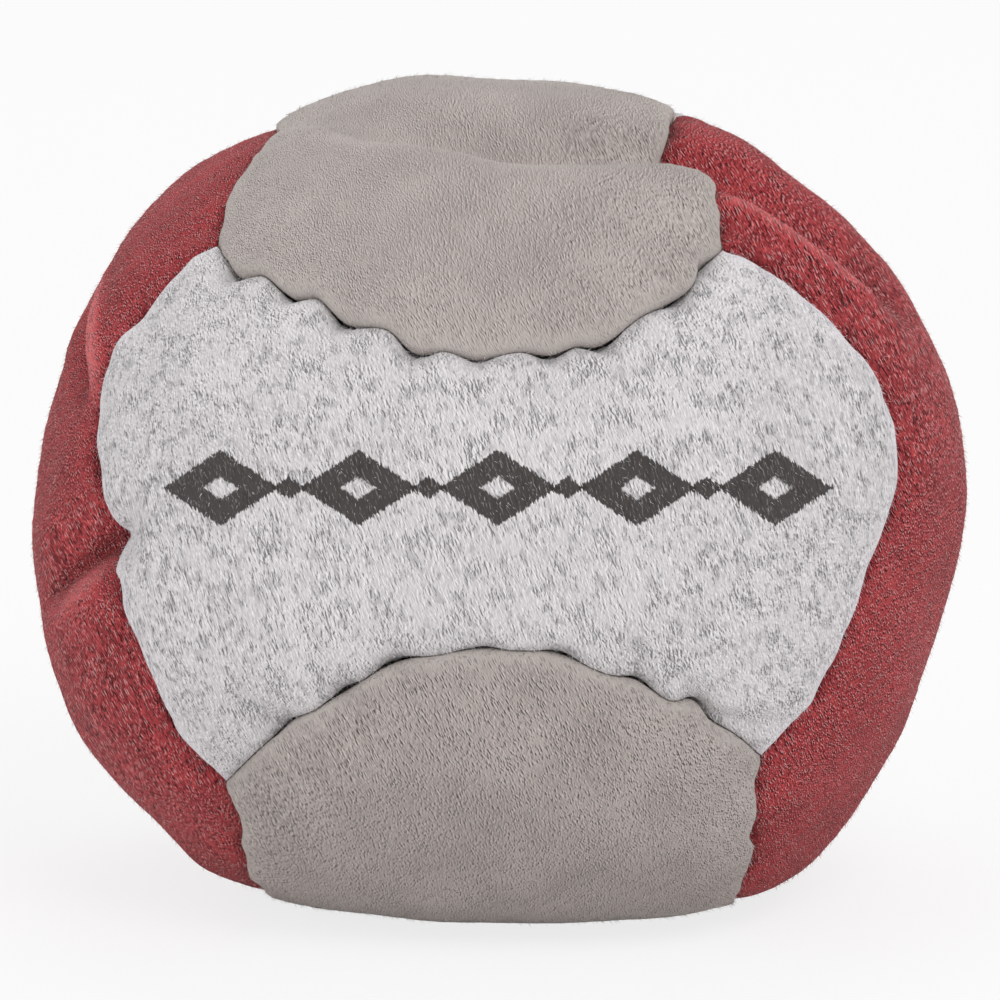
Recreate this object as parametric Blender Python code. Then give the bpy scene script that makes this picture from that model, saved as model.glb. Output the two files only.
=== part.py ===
"""A hand-sewn footbag: six suede panels, a thread in each of the twelve seams, and a loose filling.

The bag is a slumped ball. Its skin is described round a face axis, which points out of the front
panel and leans back a little. A place on the skin is given by its bearing, the angle round the
face axis, with 0 to the right and 90 upwards, and by its swing, the angle away from that axis.
Lengths are in metres, +Z is up, and the bag stands on the floor at z = 0, centred on the origin.
"""

import math

import bmesh
import bpy
import numpy as np
from mathutils import geometry

# Size of the filled bag
BAG_WIDTH = 0.056
FRONT_HALF_DEPTH = 0.0255
BACK_HALF_DEPTH = 0.0255
MIDDLE_HEIGHT = 0.0233
FACE_LEAN = math.radians(12)
SKIN_SQUARENESS = 2.25

# The foot: a flat disc that the bag's weight presses, and the skin's rise round it
FOOT_RADIUS = 0.0075
FOOT_RISE = math.radians(5)
FOOT_ROUNDING = 0.0022
FOOT_POINTS = 24

# Half widths of the bag's outline round the face axis, every 15 degrees from the right
OUTLINE_SHARES = (
    (1.002, 0.994, 0.975, 0.942, 0.936, 0.911)
    + (0.897, 0.927, 0.943, 0.965, 0.980, 0.971)
    + (0.988, 1.009, 1.021, 1.001, 1.009, 0.974)
    + (0.967, 0.994, 1.045, 1.018, 0.992, 0.975)
)

# Suede panels
SUEDE_THICKNESS = 0.0009
PANEL_CROWN = 0.0005
CROWN_REACH = 0.0032
CROWN_BLEND = 3.0
EDGE_ROLL_INSIDE = 0.0007
EDGE_ROLL_RADIUS = SUEDE_THICKNESS + EDGE_ROLL_INSIDE
EDGE_ROLL_DEPTH = 0.0011
SEAM_GAP = 0.0003
PANEL_GRID = 0.0062
DENTED_PANEL_GRID = 0.0046
FOLDED_PANEL_GRID = 0.0029

# Stitching, through needle holes in the allowances that the panels turn into the bag
STITCH_PITCH = 0.0046
THREAD_RADIUS = 0.00024
NEEDLE_CLEARANCE = 0.0004
NEEDLE_HOLE = 2 * (THREAD_RADIUS + NEEDLE_CLEARANCE)
NEEDLE_HOLE_TOP = 0.0012
ALLOWANCE_PAST_STITCH = 0.0010
ALLOWANCE_DEPTH = NEEDLE_HOLE_TOP + NEEDLE_HOLE + ALLOWANCE_PAST_STITCH
ALLOWANCE_CORNER_SHARE = 0.45
THREAD_STANDOFF = 0.0004
SEAM_END_CLEARANCE = 0.0014
SEAM_END_MARGIN = EDGE_ROLL_RADIUS + SEAM_END_CLEARANCE
KNOT_RADIUS = 0.00045

# The knot's outline: places along it and widths there, as shares of its radius
KNOT_SHARES = ((2.0, 0.6), (1.5, 1.0), (0.5, 1.0), (0.0, 0.7))

# Filling
FILL_CLEARANCE = 0.0011
FILL_SEAM_CLEARANCE = 0.0008
FILL_CHANNEL_CLEARANCE = 0.0005

# Fineness of the curves and of the nets
SEAM_SAMPLES = 160
SPLINE_STEPS = 24
TANGENT_STEP_SHARE = 0.004
BORDER_CLEAR_SHARE = 0.6
RIM_STEPS = 4
WELD_DISTANCE = 0.00001

# Where the eight corners of the panels lie, as bearing and swing in degrees
CORNERS = {
    "left_top_front": (138, 54.5),
    "right_top_front": (48, 48),
    "right_bottom_front": (316, 48.5),
    "left_bottom_front": (226, 54.5),
    "left_top_back": (121, 104),
    "right_top_back": (65, 86),
    "right_bottom_back": (316, 129),
    "left_bottom_back": (226, 127),
}

# The twelve seams: the corners they join, and the places they pass between them
SEAMS = {
    "front_top": (
        ("left_top_front", "right_top_front"),
        (
            (137, 44),
            (134, 36.5),
            (130, 30.5),
            (123, 25),
            (112, 21),
            (93, 20.8),
            (72, 21),
            (57, 25),
            (51, 31.5),
            (48.5, 39),
        ),
    ),
    "front_bottom": (
        ("left_bottom_front", "right_bottom_front"),
        (
            (226.5, 43),
            (229.5, 34.5),
            (236, 25.5),
            (251, 20.5),
            (271, 19),
            (289, 20),
            (300, 23.5),
            (307, 28),
            (312, 34),
            (314.5, 41),
        ),
    ),
    "front_left": (
        ("left_top_front", "left_bottom_front"),
        (
            (143.5, 55.5),
            (151, 57),
            (160, 61),
            (170, 59.8),
            (179, 56),
            (185, 54.5),
            (190, 54.5),
            (198, 51.5),
            (206, 50.8),
            (216, 52.5),
        ),
    ),
    "front_right": (
        ("right_top_front", "right_bottom_front"),
        (
            (42, 49),
            (35, 50.3),
            (26, 52.5),
            (17, 55.2),
            (8, 55.8),
            (0, 54),
            (352, 52),
            (341, 51),
            (329, 49.5),
            (320, 48.3),
        ),
    ),
    "back_top": (
        ("left_top_back", "right_top_back"),
        ((113, 114), (99, 118), (84, 112), (73, 99)),
    ),
    "back_bottom": (
        ("left_bottom_back", "right_bottom_back"),
        ((229, 143), (270, 161), (312, 144)),
    ),
    "back_left": (
        ("left_top_back", "left_bottom_back"),
        ((146, 114), (178, 120), (206, 124)),
    ),
    "back_right": (
        ("right_top_back", "right_bottom_back"),
        ((53, 93.5), (37, 104), (12, 115), (343, 124)),
    ),
    "top_left": (
        ("left_top_front", "left_top_back"),
        ((135, 57.5), (130.5, 62.5), (126, 67.5), (122, 75), (119.5, 88)),
    ),
    "top_right": (
        ("right_top_front", "right_top_back"),
        ((52, 51.5), (56, 56.5), (61, 62), (64.5, 69), (65.5, 77)),
    ),
    "bottom_left": (
        ("left_bottom_front", "left_bottom_back"),
        ((231.5, 60), (236, 69.5), (240, 80), (241, 97), (233, 114)),
    ),
    "bottom_right": (
        ("right_bottom_front", "right_bottom_back"),
        ((310, 54), (306.5, 59), (303, 66), (300, 78), (299, 95), (308, 114)),
    ),
}

# The six panels: their corners, anticlockwise as seen from outside, their colour and their grid
HEATHER_GREY = (0.60, 0.59, 0.60)
WARM_GREY = (0.36, 0.32, 0.30)
MAROON = (0.27, 0.045, 0.055)
PANELS = {
    "front_panel": (
        ("left_top_front", "left_bottom_front", "right_bottom_front", "right_top_front"),
        HEATHER_GREY,
        PANEL_GRID,
    ),
    "back_panel": (
        ("right_top_back", "right_bottom_back", "left_bottom_back", "left_top_back"),
        HEATHER_GREY,
        PANEL_GRID,
    ),
    "top_panel": (
        ("left_top_back", "left_top_front", "right_top_front", "right_top_back"),
        WARM_GREY,
        FOLDED_PANEL_GRID,
    ),
    "bottom_panel": (
        ("left_bottom_front", "left_bottom_back", "right_bottom_back", "right_bottom_front"),
        WARM_GREY,
        PANEL_GRID,
    ),
    "left_panel": (
        ("left_top_back", "left_bottom_back", "left_bottom_front", "left_top_front"),
        MAROON,
        DENTED_PANEL_GRID,
    ),
    "right_panel": (
        ("right_top_front", "right_bottom_front", "right_bottom_back", "right_top_back"),
        MAROON,
        DENTED_PANEL_GRID,
    ),
}
FOOT_PANEL = "bottom_panel"
SUEDE_ROUGHNESS = 0.95
THREAD_COLOUR = (0.10, 0.09, 0.09)
THREAD_ROUGHNESS = 0.7
FILL_COLOUR = (0.55, 0.47, 0.34)
FILL_ROUGHNESS = 0.9

# Folds of the underfilled bag: half width, depth (less than zero stands proud), and the places
# they pass as bearing, swing and share of the full depth
FOLD_HALF_WIDTH = 0.0031
FOLD_DEPTH = 0.0031
BROW_HALF_WIDTH = 0.0028
BROW_HEIGHT = 0.0009
DENT_HALF_WIDTH = 0.0019
DENT_DEPTH = 0.0013
CREASE_HALF_WIDTH = 0.0024
CREASE_DEPTH = 0.0012
FOLDS = (
    (
        FOLD_HALF_WIDTH,
        FOLD_DEPTH,
        (
            (118, 78, 0.0),
            (110, 68, 0.35),
            (103, 60, 0.75),
            (92, 57, 1.0),
            (78, 57, 1.0),
            (66, 62.5, 1.0),
            (54, 66.5, 0.85),
            (44, 67, 0.7),
            (34, 70, 0.5),
            (24, 78, 0.0),
        ),
    ),
    (
        BROW_HALF_WIDTH,
        -BROW_HEIGHT,
        (
            (114, 60, 0.0),
            (105, 50, 0.7),
            (92, 47, 1.0),
            (76, 47, 1.0),
            (64, 53.5, 1.0),
            (52, 58.5, 0.85),
            (42, 59, 0.7),
            (32, 62, 0.5),
            (22, 70, 0.0),
        ),
    ),
    (
        DENT_HALF_WIDTH,
        DENT_DEPTH,
        ((183, 45, 0.0), (186, 53, 1.0), (189, 64, 0.9), (192, 80, 0.0)),
    ),
    (
        CREASE_HALF_WIDTH,
        CREASE_DEPTH,
        ((147, 94, 0.0), (153, 83, 1.0), (160, 75, 1.0), (168, 69, 0.0)),
    ),
)


# Directions and curves

RIGHT, UP, OUT = np.eye(3)


def unit(vectors):
    """Vectors brought to length 1."""
    return vectors / np.linalg.norm(vectors, axis=-1, keepdims=True)


def heading(bearing, swing):
    """Direction of a place on the skin, on the face's own axes, from angles in radians."""
    return np.stack(
        (np.sin(swing) * np.cos(bearing), np.sin(swing) * np.sin(bearing), np.cos(swing)), -1
    )


def headings(places):
    """Directions of places given as bearing and swing in degrees."""
    return np.array([heading(*np.radians(place[:2])) for place in places])


def blend(before, first, second, after, part):
    """Smooth value between the first and second of four values in a row."""
    return (
        first
        + (second - before) * part / 2
        + (2 * before - 5 * first + 4 * second - after) * part**2 / 2
        + (3 * first - before - 3 * second + after) * part**3 / 2
    )


def through(points):
    """A smooth curve through the points."""
    rows = np.vstack((2 * points[0] - points[1], points, 2 * points[-1] - points[-2]))
    parts = (np.arange(SPLINE_STEPS) / SPLINE_STEPS)[:, None]
    spans = [blend(*rows[start : start + 4], parts) for start in range(len(points) - 1)]
    return np.vstack((*spans, points[-1:]))


def outline_share(bearing):
    """Outline of the bag at bearings in radians, as a share of half the bag's width."""
    shares = np.array(OUTLINE_SHARES)
    place = (bearing / (2 * math.pi) * len(shares)) % len(shares)
    start = np.floor(place).astype(int)
    near = (shares[(start + step) % len(shares)] for step in (-1, 0, 1, 2))
    return blend(*near, place - start)


def distances(ways, line, reach):
    """Distance on the skin from each way to the nearest point of a line, and that point's number."""
    turn = np.arccos(np.clip(ways @ line.T, -1, 1))
    nearest = turn.argmin(axis=-1)
    return np.take_along_axis(turn, nearest[..., None], -1)[..., 0] * reach, nearest


# The skin

FACE_UP = np.array((0.0, math.sin(FACE_LEAN), math.cos(FACE_LEAN)))
FACE_OUT = np.array((0.0, -math.cos(FACE_LEAN), math.sin(FACE_LEAN)))
FACE_AXES = np.array((RIGHT, FACE_UP, FACE_OUT))


def plain_reach(ways):
    """Offsets from the bag's middle to its skin before folds and seams, on the world's axes."""
    sideways = np.hypot(ways[..., 0], ways[..., 1])
    deep = np.abs(ways[..., 2])
    plump = (sideways**SKIN_SQUARENESS + deep**SKIN_SQUARENESS) ** (-1 / SKIN_SQUARENESS)
    half_width = BAG_WIDTH / 2 * outline_share(np.arctan2(ways[..., 1], ways[..., 0]))
    half_depth = np.where(ways[..., 2] > 0, FRONT_HALF_DEPTH, BACK_HALF_DEPTH)
    halves = np.stack((half_width, half_width, half_depth), -1)
    return (plump[..., None] * halves * ways) @ FACE_AXES


def on_floor(points):
    """Points pressed up by the floor, flat within the foot and rising gently round it."""
    pressed = points.copy()
    past_foot = np.maximum(np.hypot(points[..., 0], points[..., 1]) - FOOT_RADIUS, 0.0)
    least = past_foot * math.tan(FOOT_RISE)
    over = points[..., 2] - least
    rounded = (over + FOOT_ROUNDING) ** 2 / (4 * FOOT_ROUNDING)
    kept = np.where(over > FOOT_ROUNDING, over, np.where(over > -FOOT_ROUNDING, rounded, 0.0))
    pressed[..., 2] = least + kept
    return pressed


class Fold:
    """A fold or dent of the skin, or a brow that stands proud where its depth is below zero."""

    def __init__(self, half_width, depth, places):
        self.half_width = half_width
        self.depth = depth
        rows = through(np.hstack((headings(places), [[place[2]] for place in places])))
        self.line = unit(rows[:, :3])
        self.shares = rows[:, 3]

    def dip(self, ways, reach):
        """How far the fold draws the skin in at each way."""
        away, nearest = distances(ways, self.line, reach)
        return self.depth * self.shares[nearest] * np.exp(-((away / self.half_width) ** 2))


class Seam:
    """One seam: the line where two panels meet, and shares of its length."""

    def __init__(self, start, end, places):
        self.start = start
        self.end = end
        self.line = unit(through(headings((CORNERS[start], *places, CORNERS[end]))))
        self.along = None
        self.length = None

    def measure(self, points):
        """Note the seam's length along the points of its line on the skin."""
        steps = np.linalg.norm(np.diff(points, axis=0), axis=1)
        self.along = np.concatenate(([0.0], np.cumsum(steps)))
        self.length = self.along[-1]

    def ways(self, shares):
        """Directions at shares of the seam's length."""
        at = np.asarray(shares) * self.length
        return unit(np.stack([np.interp(at, self.along, values) for values in self.line.T], -1))

    def stitches(self):
        """Whole number of stitches between the seam's end margins."""
        return max(1, round((self.length - 2 * SEAM_END_MARGIN) / STITCH_PITCH))

    def stitch_shares(self, count):
        """Places so many stitches along the seam, as shares of its length."""
        margin = SEAM_END_MARGIN / self.length
        return margin + (1 - 2 * margin) * np.asarray(count) / self.stitches()

    def hole_shares(self):
        """Middles of the needle holes, as shares of the seam's length."""
        return self.stitch_shares(np.arange(self.stitches() + 1))

    def panel_shares(self):
        """Columns of a panel's edge: the corner, then both sides of each needle hole."""
        half_hole = NEEDLE_HOLE / 2 / self.length
        sides = [(hole - half_hole, hole + half_hole) for hole in self.hole_shares()]
        return np.array([0.0] + [side for pair in sides for side in pair])

    def fill_shares(self):
        """Columns of the filling's edge: the corner, then every half stitch."""
        halves = self.stitch_shares(np.arange(1, 2 * self.stitches()) / 2)
        return np.concatenate(([0.0], halves))


class Bag:
    """The skin with its seams and folds, as every piece needs them."""

    def __init__(self):
        self.folds = [Fold(*fold) for fold in FOLDS]
        self.seams = {name: Seam(*ends, places) for name, (ends, places) in SEAMS.items()}
        self.by_corners = {frozenset((s.start, s.end)): s for s in self.seams.values()}
        self.middle = np.array((0.0, 0.0, MIDDLE_HEIGHT))
        swings, bearings = np.meshgrid(
            np.linspace(0, math.pi, SEAM_SAMPLES), np.linspace(0, 2 * math.pi, SEAM_SAMPLES)
        )
        skin, _ = self.place(heading(bearings, swings).reshape(-1, 3))
        off_centre = (skin.min(axis=0) + skin.max(axis=0)) / 2
        self.middle = np.array((-off_centre[0], -off_centre[1], MIDDLE_HEIGHT))
        for seam in self.seams.values():
            seam.measure(self.place(seam.line)[0])

    def place(self, ways):
        """Places on the skin, dipped along the seams and folds, and the ways out there."""
        offsets = plain_reach(ways)
        reach = np.linalg.norm(offsets, axis=-1)
        outward = offsets / reach[..., None]
        near_seams = sum(
            np.exp(-CROWN_BLEND * distances(ways, seam.line, reach)[0] / CROWN_REACH)
            for seam in self.seams.values()
        )
        dip = PANEL_CROWN * near_seams ** (1 / CROWN_BLEND)
        dip = dip + sum(fold.dip(ways, reach) for fold in self.folds)
        return on_floor(self.middle + offsets - outward * dip[..., None]), outward

    def foot_rim(self):
        """Directions of the points round the flat foot, found by nearing them step by step."""
        turn = np.arange(FOOT_POINTS) / FOOT_POINTS * 2 * math.pi
        rim = np.stack((np.cos(turn), np.sin(turn), 0 * turn), -1) * FOOT_RADIUS
        ways = unit((rim - self.middle) @ FACE_AXES.T)
        for _ in range(RIM_STEPS):
            points = self.place(ways)[0]
            reach = np.linalg.norm(points - self.middle, axis=-1, keepdims=True)
            ways = unit(ways + (rim - points) @ FACE_AXES.T / reach)
        return ways

    def frames(self, seam, shares):
        """Places on a seam, the way across it to the left there, and the way out of the bag."""
        points, outward = self.place(seam.ways(shares))
        ahead = self.place(seam.ways(np.minimum(shares + TANGENT_STEP_SHARE, 1.0)))[0]
        behind = self.place(seam.ways(np.maximum(shares - TANGENT_STEP_SHARE, 0.0)))[0]
        return points, unit(np.cross(outward, ahead - behind)), outward

    def edge(self, corners, columns):
        """Columns round a panel: their directions, their places on the skin, and the way out
        and the step into the panel at each.

        The steps are mitred at the corners, so that a step keeps its distance to both seams.
        """
        ways, points, outs, steps, lasts = [], [], [], [], []
        for start, end in zip(corners, corners[1:] + corners[:1]):
            seam = self.by_corners[frozenset((start, end))]
            forward = seam.start == start
            shares = columns(seam) if forward else 1 - columns(seam)
            ends = np.array([1.0]) if forward else np.array([0.0])
            here, across, outward = self.frames(seam, shares)
            side = 1 if forward else -1
            ways.append(seam.ways(shares))
            points.append(here)
            outs.append(outward)
            steps.append(side * across)
            lasts.append(side * self.frames(seam, ends)[1][0])
        for number, inward in enumerate(steps):
            before = lasts[number - 1]
            inward[0] = (before + inward[0]) / (1 + before @ inward[0])
        return (np.vstack(rows) for rows in (ways, points, outs, steps))

    def stepped(self, ways, points, steps, distance):
        """Directions moved a distance into the panel."""
        turn = distance / np.linalg.norm(points - self.middle, axis=-1, keepdims=True)
        return unit(ways + steps @ FACE_AXES.T * turn)


# Nets

class Chart:
    """A panel laid out flat: angles across and up from its middle direction."""

    def __init__(self, ways):
        self.middle = unit(ways.mean(axis=0))
        level = UP if abs(self.middle @ UP) < abs(self.middle @ OUT) else OUT
        self.side = unit(np.cross(level, self.middle))
        self.up = np.cross(self.middle, self.side)

    def flat(self, ways):
        """Directions laid out flat."""
        away = np.arccos(np.clip(ways @ self.middle, -1, 1))
        return unit(np.stack((ways @ self.side, ways @ self.up), -1)) * away[:, None]

    def ways(self, flat):
        """Directions of places on the flat layout."""
        away = np.linalg.norm(flat, axis=-1, keepdims=True)
        toward = flat / away
        across = toward[:, :1] * self.side + toward[:, 1:] * self.up
        return np.cos(away) * self.middle + np.sin(away) * across


def is_inside(point, start, end):
    """Whether a flat point lies inside the closed border whose sides run from start to end."""
    rise = (start[:, 1] > point[1]) != (end[:, 1] > point[1])
    slope = (point[1] - start[:, 1]) / np.where(rise, end[:, 1] - start[:, 1], 1)
    crossing = start[:, 0] + slope * (end[:, 0] - start[:, 0])
    return np.count_nonzero(rise & (crossing > point[0])) % 2 == 1


def border_gap(point, start, end):
    """Distance from a flat point to the border."""
    span = end - start
    along = np.clip(((point - start) * span).sum(1) / (span**2).sum(1), 0, 1)
    return np.linalg.norm(start + span * along[:, None] - point, axis=1).min()


def inside_points(border, step):
    """Staggered rows of points inside a closed flat border, kept clear of it."""
    start, end = border, np.roll(border, -1, axis=0)
    low, high = border.min(axis=0), border.max(axis=0)
    row_step = step * math.sqrt(3) / 2
    kept = []
    for row in range(int((high[1] - low[1]) / row_step) + 1):
        for column in range(int((high[0] - low[0]) / step) + 2):
            place = ((column + row % 2 / 2) * step, (row + 1 / 2) * row_step)
            point = low + np.array(place)
            clear = border_gap(point, start, end) > step * BORDER_CLEAR_SHARE
            if clear and is_inside(point, start, end):
                kept.append(point)
    return np.array(kept)


def sheet(border_ways, grid, rim_ways=None):
    """Net inside a panel's border: the directions of its points, the border's first, and faces.

    A rim inside the border, where there is one, takes the place of the points that lie by it.
    """
    chart = Chart(border_ways)
    border = chart.flat(border_ways)
    step = grid / (BAG_WIDTH / 2)
    inner = inside_points(border, step)
    if rim_ways is not None:
        rim = chart.flat(rim_ways)
        gaps = [border_gap(point, rim, np.roll(rim, -1, axis=0)) for point in inner]
        inner = np.vstack((inner[np.array(gaps) > step * BORDER_CLEAR_SHARE], rim))
    outline = [list(range(len(border)))]
    places = [tuple(place) for place in np.vstack((border, inner))]
    _, _, triangles, sources, _, _ = geometry.delaunay_2d_cdt(places, [], outline, 1, 0.0)
    faces = [tuple(sources[corner][0] for corner in triangle) for triangle in triangles]
    return np.vstack((border_ways, chart.ways(inner))), faces


class Net:
    """Points and faces of one piece, gathered row by row."""

    def __init__(self):
        self.points = []
        self.faces = []

    def add(self, points):
        """Take in a row of points, and give their numbers."""
        first = len(self.points)
        self.points.extend(map(tuple, points))
        return list(range(first, len(self.points)))

    def strip(self, upper, lower, skipped=()):
        """Faces between two closed rows of points, leaving out the columns named."""
        for column, (above, below) in enumerate(zip(upper, lower)):
            after = (column + 1) % len(upper)
            if column not in skipped:
                self.faces.append((above, below, lower[after], upper[after]))

    def made(self, name, material):
        """A smooth-shaded object of the net."""
        mesh = bpy.data.meshes.new(name)
        shaper = bmesh.new()
        vertices = [shaper.verts.new(point) for point in self.points]
        for face in self.faces:
            shaper.faces.new([vertices[corner] for corner in face])
        bmesh.ops.remove_doubles(shaper, verts=shaper.verts, dist=WELD_DISTANCE)
        shaper.to_mesh(mesh)
        shaper.free()
        mesh.shade_smooth()
        return placed(name, mesh, material)


# Pieces

def clear_scene():
    """Remove every object that the file holds."""
    for old in list(bpy.data.objects):
        bpy.data.objects.remove(old, do_unlink=True)


def finish(name, colour, roughness):
    """A plain shaded material of one colour."""
    material = bpy.data.materials.new(name)
    material.use_nodes = True
    shader = material.node_tree.nodes["Principled BSDF"]
    shader.inputs["Base Color"].default_value = (*colour, 1.0)
    shader.inputs["Roughness"].default_value = roughness
    shader.inputs["Metallic"].default_value = 0.0
    return material


def placed(name, data, material):
    """An object of a mesh or a curve, in the scene."""
    data.materials.append(material)
    piece = bpy.data.objects.new(name, data)
    bpy.context.scene.collection.objects.link(piece)
    return piece


def make_panel(bag, name):
    """A suede panel: its outer sheet, its rolled edge, and the allowance turned into the bag.

    It is drawn as its outer face alone, with the needle holes left open in the allowance, and
    then thickened inwards.
    """
    corners, colour, grid = PANELS[name]
    ways, places, outward, steps = bag.edge(corners, Seam.panel_shares)
    net = Net()
    shoulder = bag.stepped(ways, places, steps, EDGE_ROLL_RADIUS)
    rim_ways = bag.foot_rim() if name == FOOT_PANEL else None
    sheet_ways, net.faces = sheet(shoulder, grid, rim_ways)
    row = net.add(bag.place(sheet_ways)[0])[: len(ways)]
    kinds = []
    for start, end in zip(corners, corners[1:] + corners[:1]):
        holes = len(bag.by_corners[frozenset((start, end))].hole_shares())
        kinds += ["corner"] + ["hole", "stitch"] * holes
    reach = np.array([ALLOWANCE_CORNER_SHARE if kind == "corner" else 1.0 for kind in kinds])
    holes = [column for column, kind in enumerate(kinds) if kind == "hole"]
    hole_bottom = NEEDLE_HOLE_TOP + NEEDLE_HOLE
    for depth in (0.0, NEEDLE_HOLE_TOP, hole_bottom, ALLOWANCE_DEPTH):
        sunk = outward * (EDGE_ROLL_DEPTH + depth * reach)[:, None]
        below = net.add(places + steps * (SEAM_GAP / 2) - sunk)
        net.strip(row, below, holes if depth == hole_bottom else ())
        row = below
    piece = net.made(name, finish(name + "_suede", colour, SUEDE_ROUGHNESS))
    thicken = piece.modifiers.new("Suede thickness", "SOLIDIFY")
    thicken.thickness = SUEDE_THICKNESS
    thicken.offset = -1.0
    thicken.use_even_offset = True
    return piece


def make_thread(bag, name, seam, material):
    """A thread that goes from side to side through a seam's needle holes, knotted at its ends."""
    holes = seam.hole_shares()
    half_hole = NEEDLE_HOLE / 2 / seam.length
    stations = {"before": holes - half_hole, "in": holes, "after": holes + half_hole}
    frames = {place: bag.frames(seam, shares) for place, shares in stations.items()}
    level = EDGE_ROLL_DEPTH + NEEDLE_HOLE_TOP + NEEDLE_HOLE / 2
    wall = SEAM_GAP / 2 + SUEDE_THICKNESS + THREAD_STANDOFF
    run = wall + THREAD_RADIUS
    path = []

    def add(place, hole, side, width=THREAD_RADIUS):
        points, across, outward = (values[hole] for values in frames[place])
        path.append((points + across * side - outward * level, width))

    def add_knot(hole, side, order):
        for along, width in KNOT_SHARES[::order]:
            add("in", hole, side * (wall + along * KNOT_RADIUS), width * KNOT_RADIUS)

    side, last = 1, len(holes) - 1
    add_knot(0, -side, 1)
    for hole in range(len(holes)):
        if hole > 0:
            add("before", hole, -side * run)
            add("in", hole, -side * wall)
        if hole < last:
            add("in", hole, side * wall)
            add("after", hole, side * run)
            side = -side
    add_knot(last, side, -1)

    curve = bpy.data.curves.new(name, "CURVE")
    curve.dimensions = "3D"
    curve.bevel_depth = THREAD_RADIUS
    curve.bevel_resolution = 1
    curve.use_fill_caps = True
    spline = curve.splines.new("POLY")
    spline.points.add(len(path) - 1)
    for point, (place, width) in zip(spline.points, path):
        point.co = (*place, 1.0)
        point.radius = width / THREAD_RADIUS
    return placed(name, curve, material)


def make_filling(bag):
    """The loose filling: one body that fills each panel's tray and leaves the seams a channel."""
    net = Net()
    inset = SUEDE_THICKNESS + FILL_CLEARANCE
    thread_side = SEAM_GAP / 2 + SUEDE_THICKNESS + THREAD_STANDOFF + 2 * KNOT_RADIUS
    flank = thread_side + FILL_CHANNEL_CLEARANCE
    channel = EDGE_ROLL_DEPTH + ALLOWANCE_DEPTH + FILL_SEAM_CLEARANCE
    for corners, _, grid in PANELS.values():
        ways, places, outward, steps = bag.edge(corners, Seam.fill_shares)
        shoulder = bag.stepped(ways, places, steps, flank)
        sheet_ways, faces = sheet(shoulder, grid)
        skin, out = bag.place(sheet_ways)
        top = net.add(skin - out * inset)
        net.faces += [tuple(top[corner] for corner in face) for face in faces]
        low = net.add(places + steps * flank - outward * channel)
        middle = net.add(places - outward * channel)
        net.strip(top[: len(ways)], low)
        net.strip(low, middle)
    return net.made("filling", finish("filling_grains", FILL_COLOUR, FILL_ROUGHNESS))


def main():
    """Make the footbag."""
    clear_scene()
    bag = Bag()
    for name in PANELS:
        make_panel(bag, name)
    waxed = finish("waxed_thread", THREAD_COLOUR, THREAD_ROUGHNESS)
    for name, seam in bag.seams.items():
        make_thread(bag, name + "_thread", seam, waxed)
    make_filling(bag)


main()
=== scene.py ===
"""The looks of a hand-sewn footbag: six napped suede panels round a loose filling.

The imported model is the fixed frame. Each suede panel is made again here as a fine sheet with its
rolled edges, gathers and folds, and takes the place of its plain solid. The threads and the
filling keep their solids and get their finish.

A place on the skin is given by its bearing, the angle round the face axis with 0 to the right and
90 upwards, and by its swing, the angle away from that axis. The face axis points out of the front
panel and leans back a little. Lengths are in metres and +Z is up.
"""

from __future__ import annotations

import logging
import math
from collections.abc import Callable
from dataclasses import dataclass, field, replace
from enum import Enum

import bpy
import numpy as np
from mathutils import Matrix, Vector


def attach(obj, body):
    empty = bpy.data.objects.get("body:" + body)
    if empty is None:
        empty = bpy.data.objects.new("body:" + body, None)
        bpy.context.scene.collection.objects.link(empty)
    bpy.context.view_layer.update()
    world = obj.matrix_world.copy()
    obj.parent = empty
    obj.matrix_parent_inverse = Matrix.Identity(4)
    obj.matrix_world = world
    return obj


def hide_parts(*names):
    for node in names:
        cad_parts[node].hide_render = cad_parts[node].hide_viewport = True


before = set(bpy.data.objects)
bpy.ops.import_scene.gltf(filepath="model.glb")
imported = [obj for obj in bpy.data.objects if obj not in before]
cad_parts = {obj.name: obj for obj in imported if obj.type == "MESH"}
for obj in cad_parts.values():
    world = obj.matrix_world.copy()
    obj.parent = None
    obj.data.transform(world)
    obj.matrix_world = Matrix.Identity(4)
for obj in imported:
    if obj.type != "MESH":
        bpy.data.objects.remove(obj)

LOG = logging.getLogger("footbag")
BODY = "root"
# Marks on a panel's points: a painted highlight along edges that lap over a neighbour; brushed-pale
# wear with painted highlight on ridges and painted shade in hollows; painted shade where a panel
# tucks under its neighbour.
RIM_HIGHLIGHT, WEAR_AND_FOLD_SHADE, TUCKED_SHADE, FULL = "rim_highlight", "wear_and_fold_shade", "tucked_shade", "full thickness"
WHITE = (1.0, 1.0, 1.0, 1.0)
Colour = tuple[float, float, float]
Place = tuple[float, ...]


class Cloth(Enum):
    """The suedes that the panels are cut from."""

    PRINTED = "heather grey with the inked band"
    HEATHER = "heather grey"
    WARM_GREY = "warm grey"
    ROUGH_GREY = "warm grey, scuffed rough"
    MAROON = "maroon"


RIGHT, UP, OUT = np.eye(3)


# Directions and curves


def unit(vectors: np.ndarray) -> np.ndarray:
    """Vectors brought to length 1."""
    return vectors / np.linalg.norm(vectors, axis=-1, keepdims=True)


def headings(places: tuple[Place, ...]) -> np.ndarray:
    """Directions of places, on the face's own axes.

    Args:
        places: Bearing and swing in degrees; what follows them is left out.

    Returns:
        One direction a row.
    """
    bearing, swing = np.radians([place[:2] for place in places]).T
    across = np.sin(swing)
    return np.stack((across * np.cos(bearing), across * np.sin(bearing), np.cos(swing)), -1)


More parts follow.
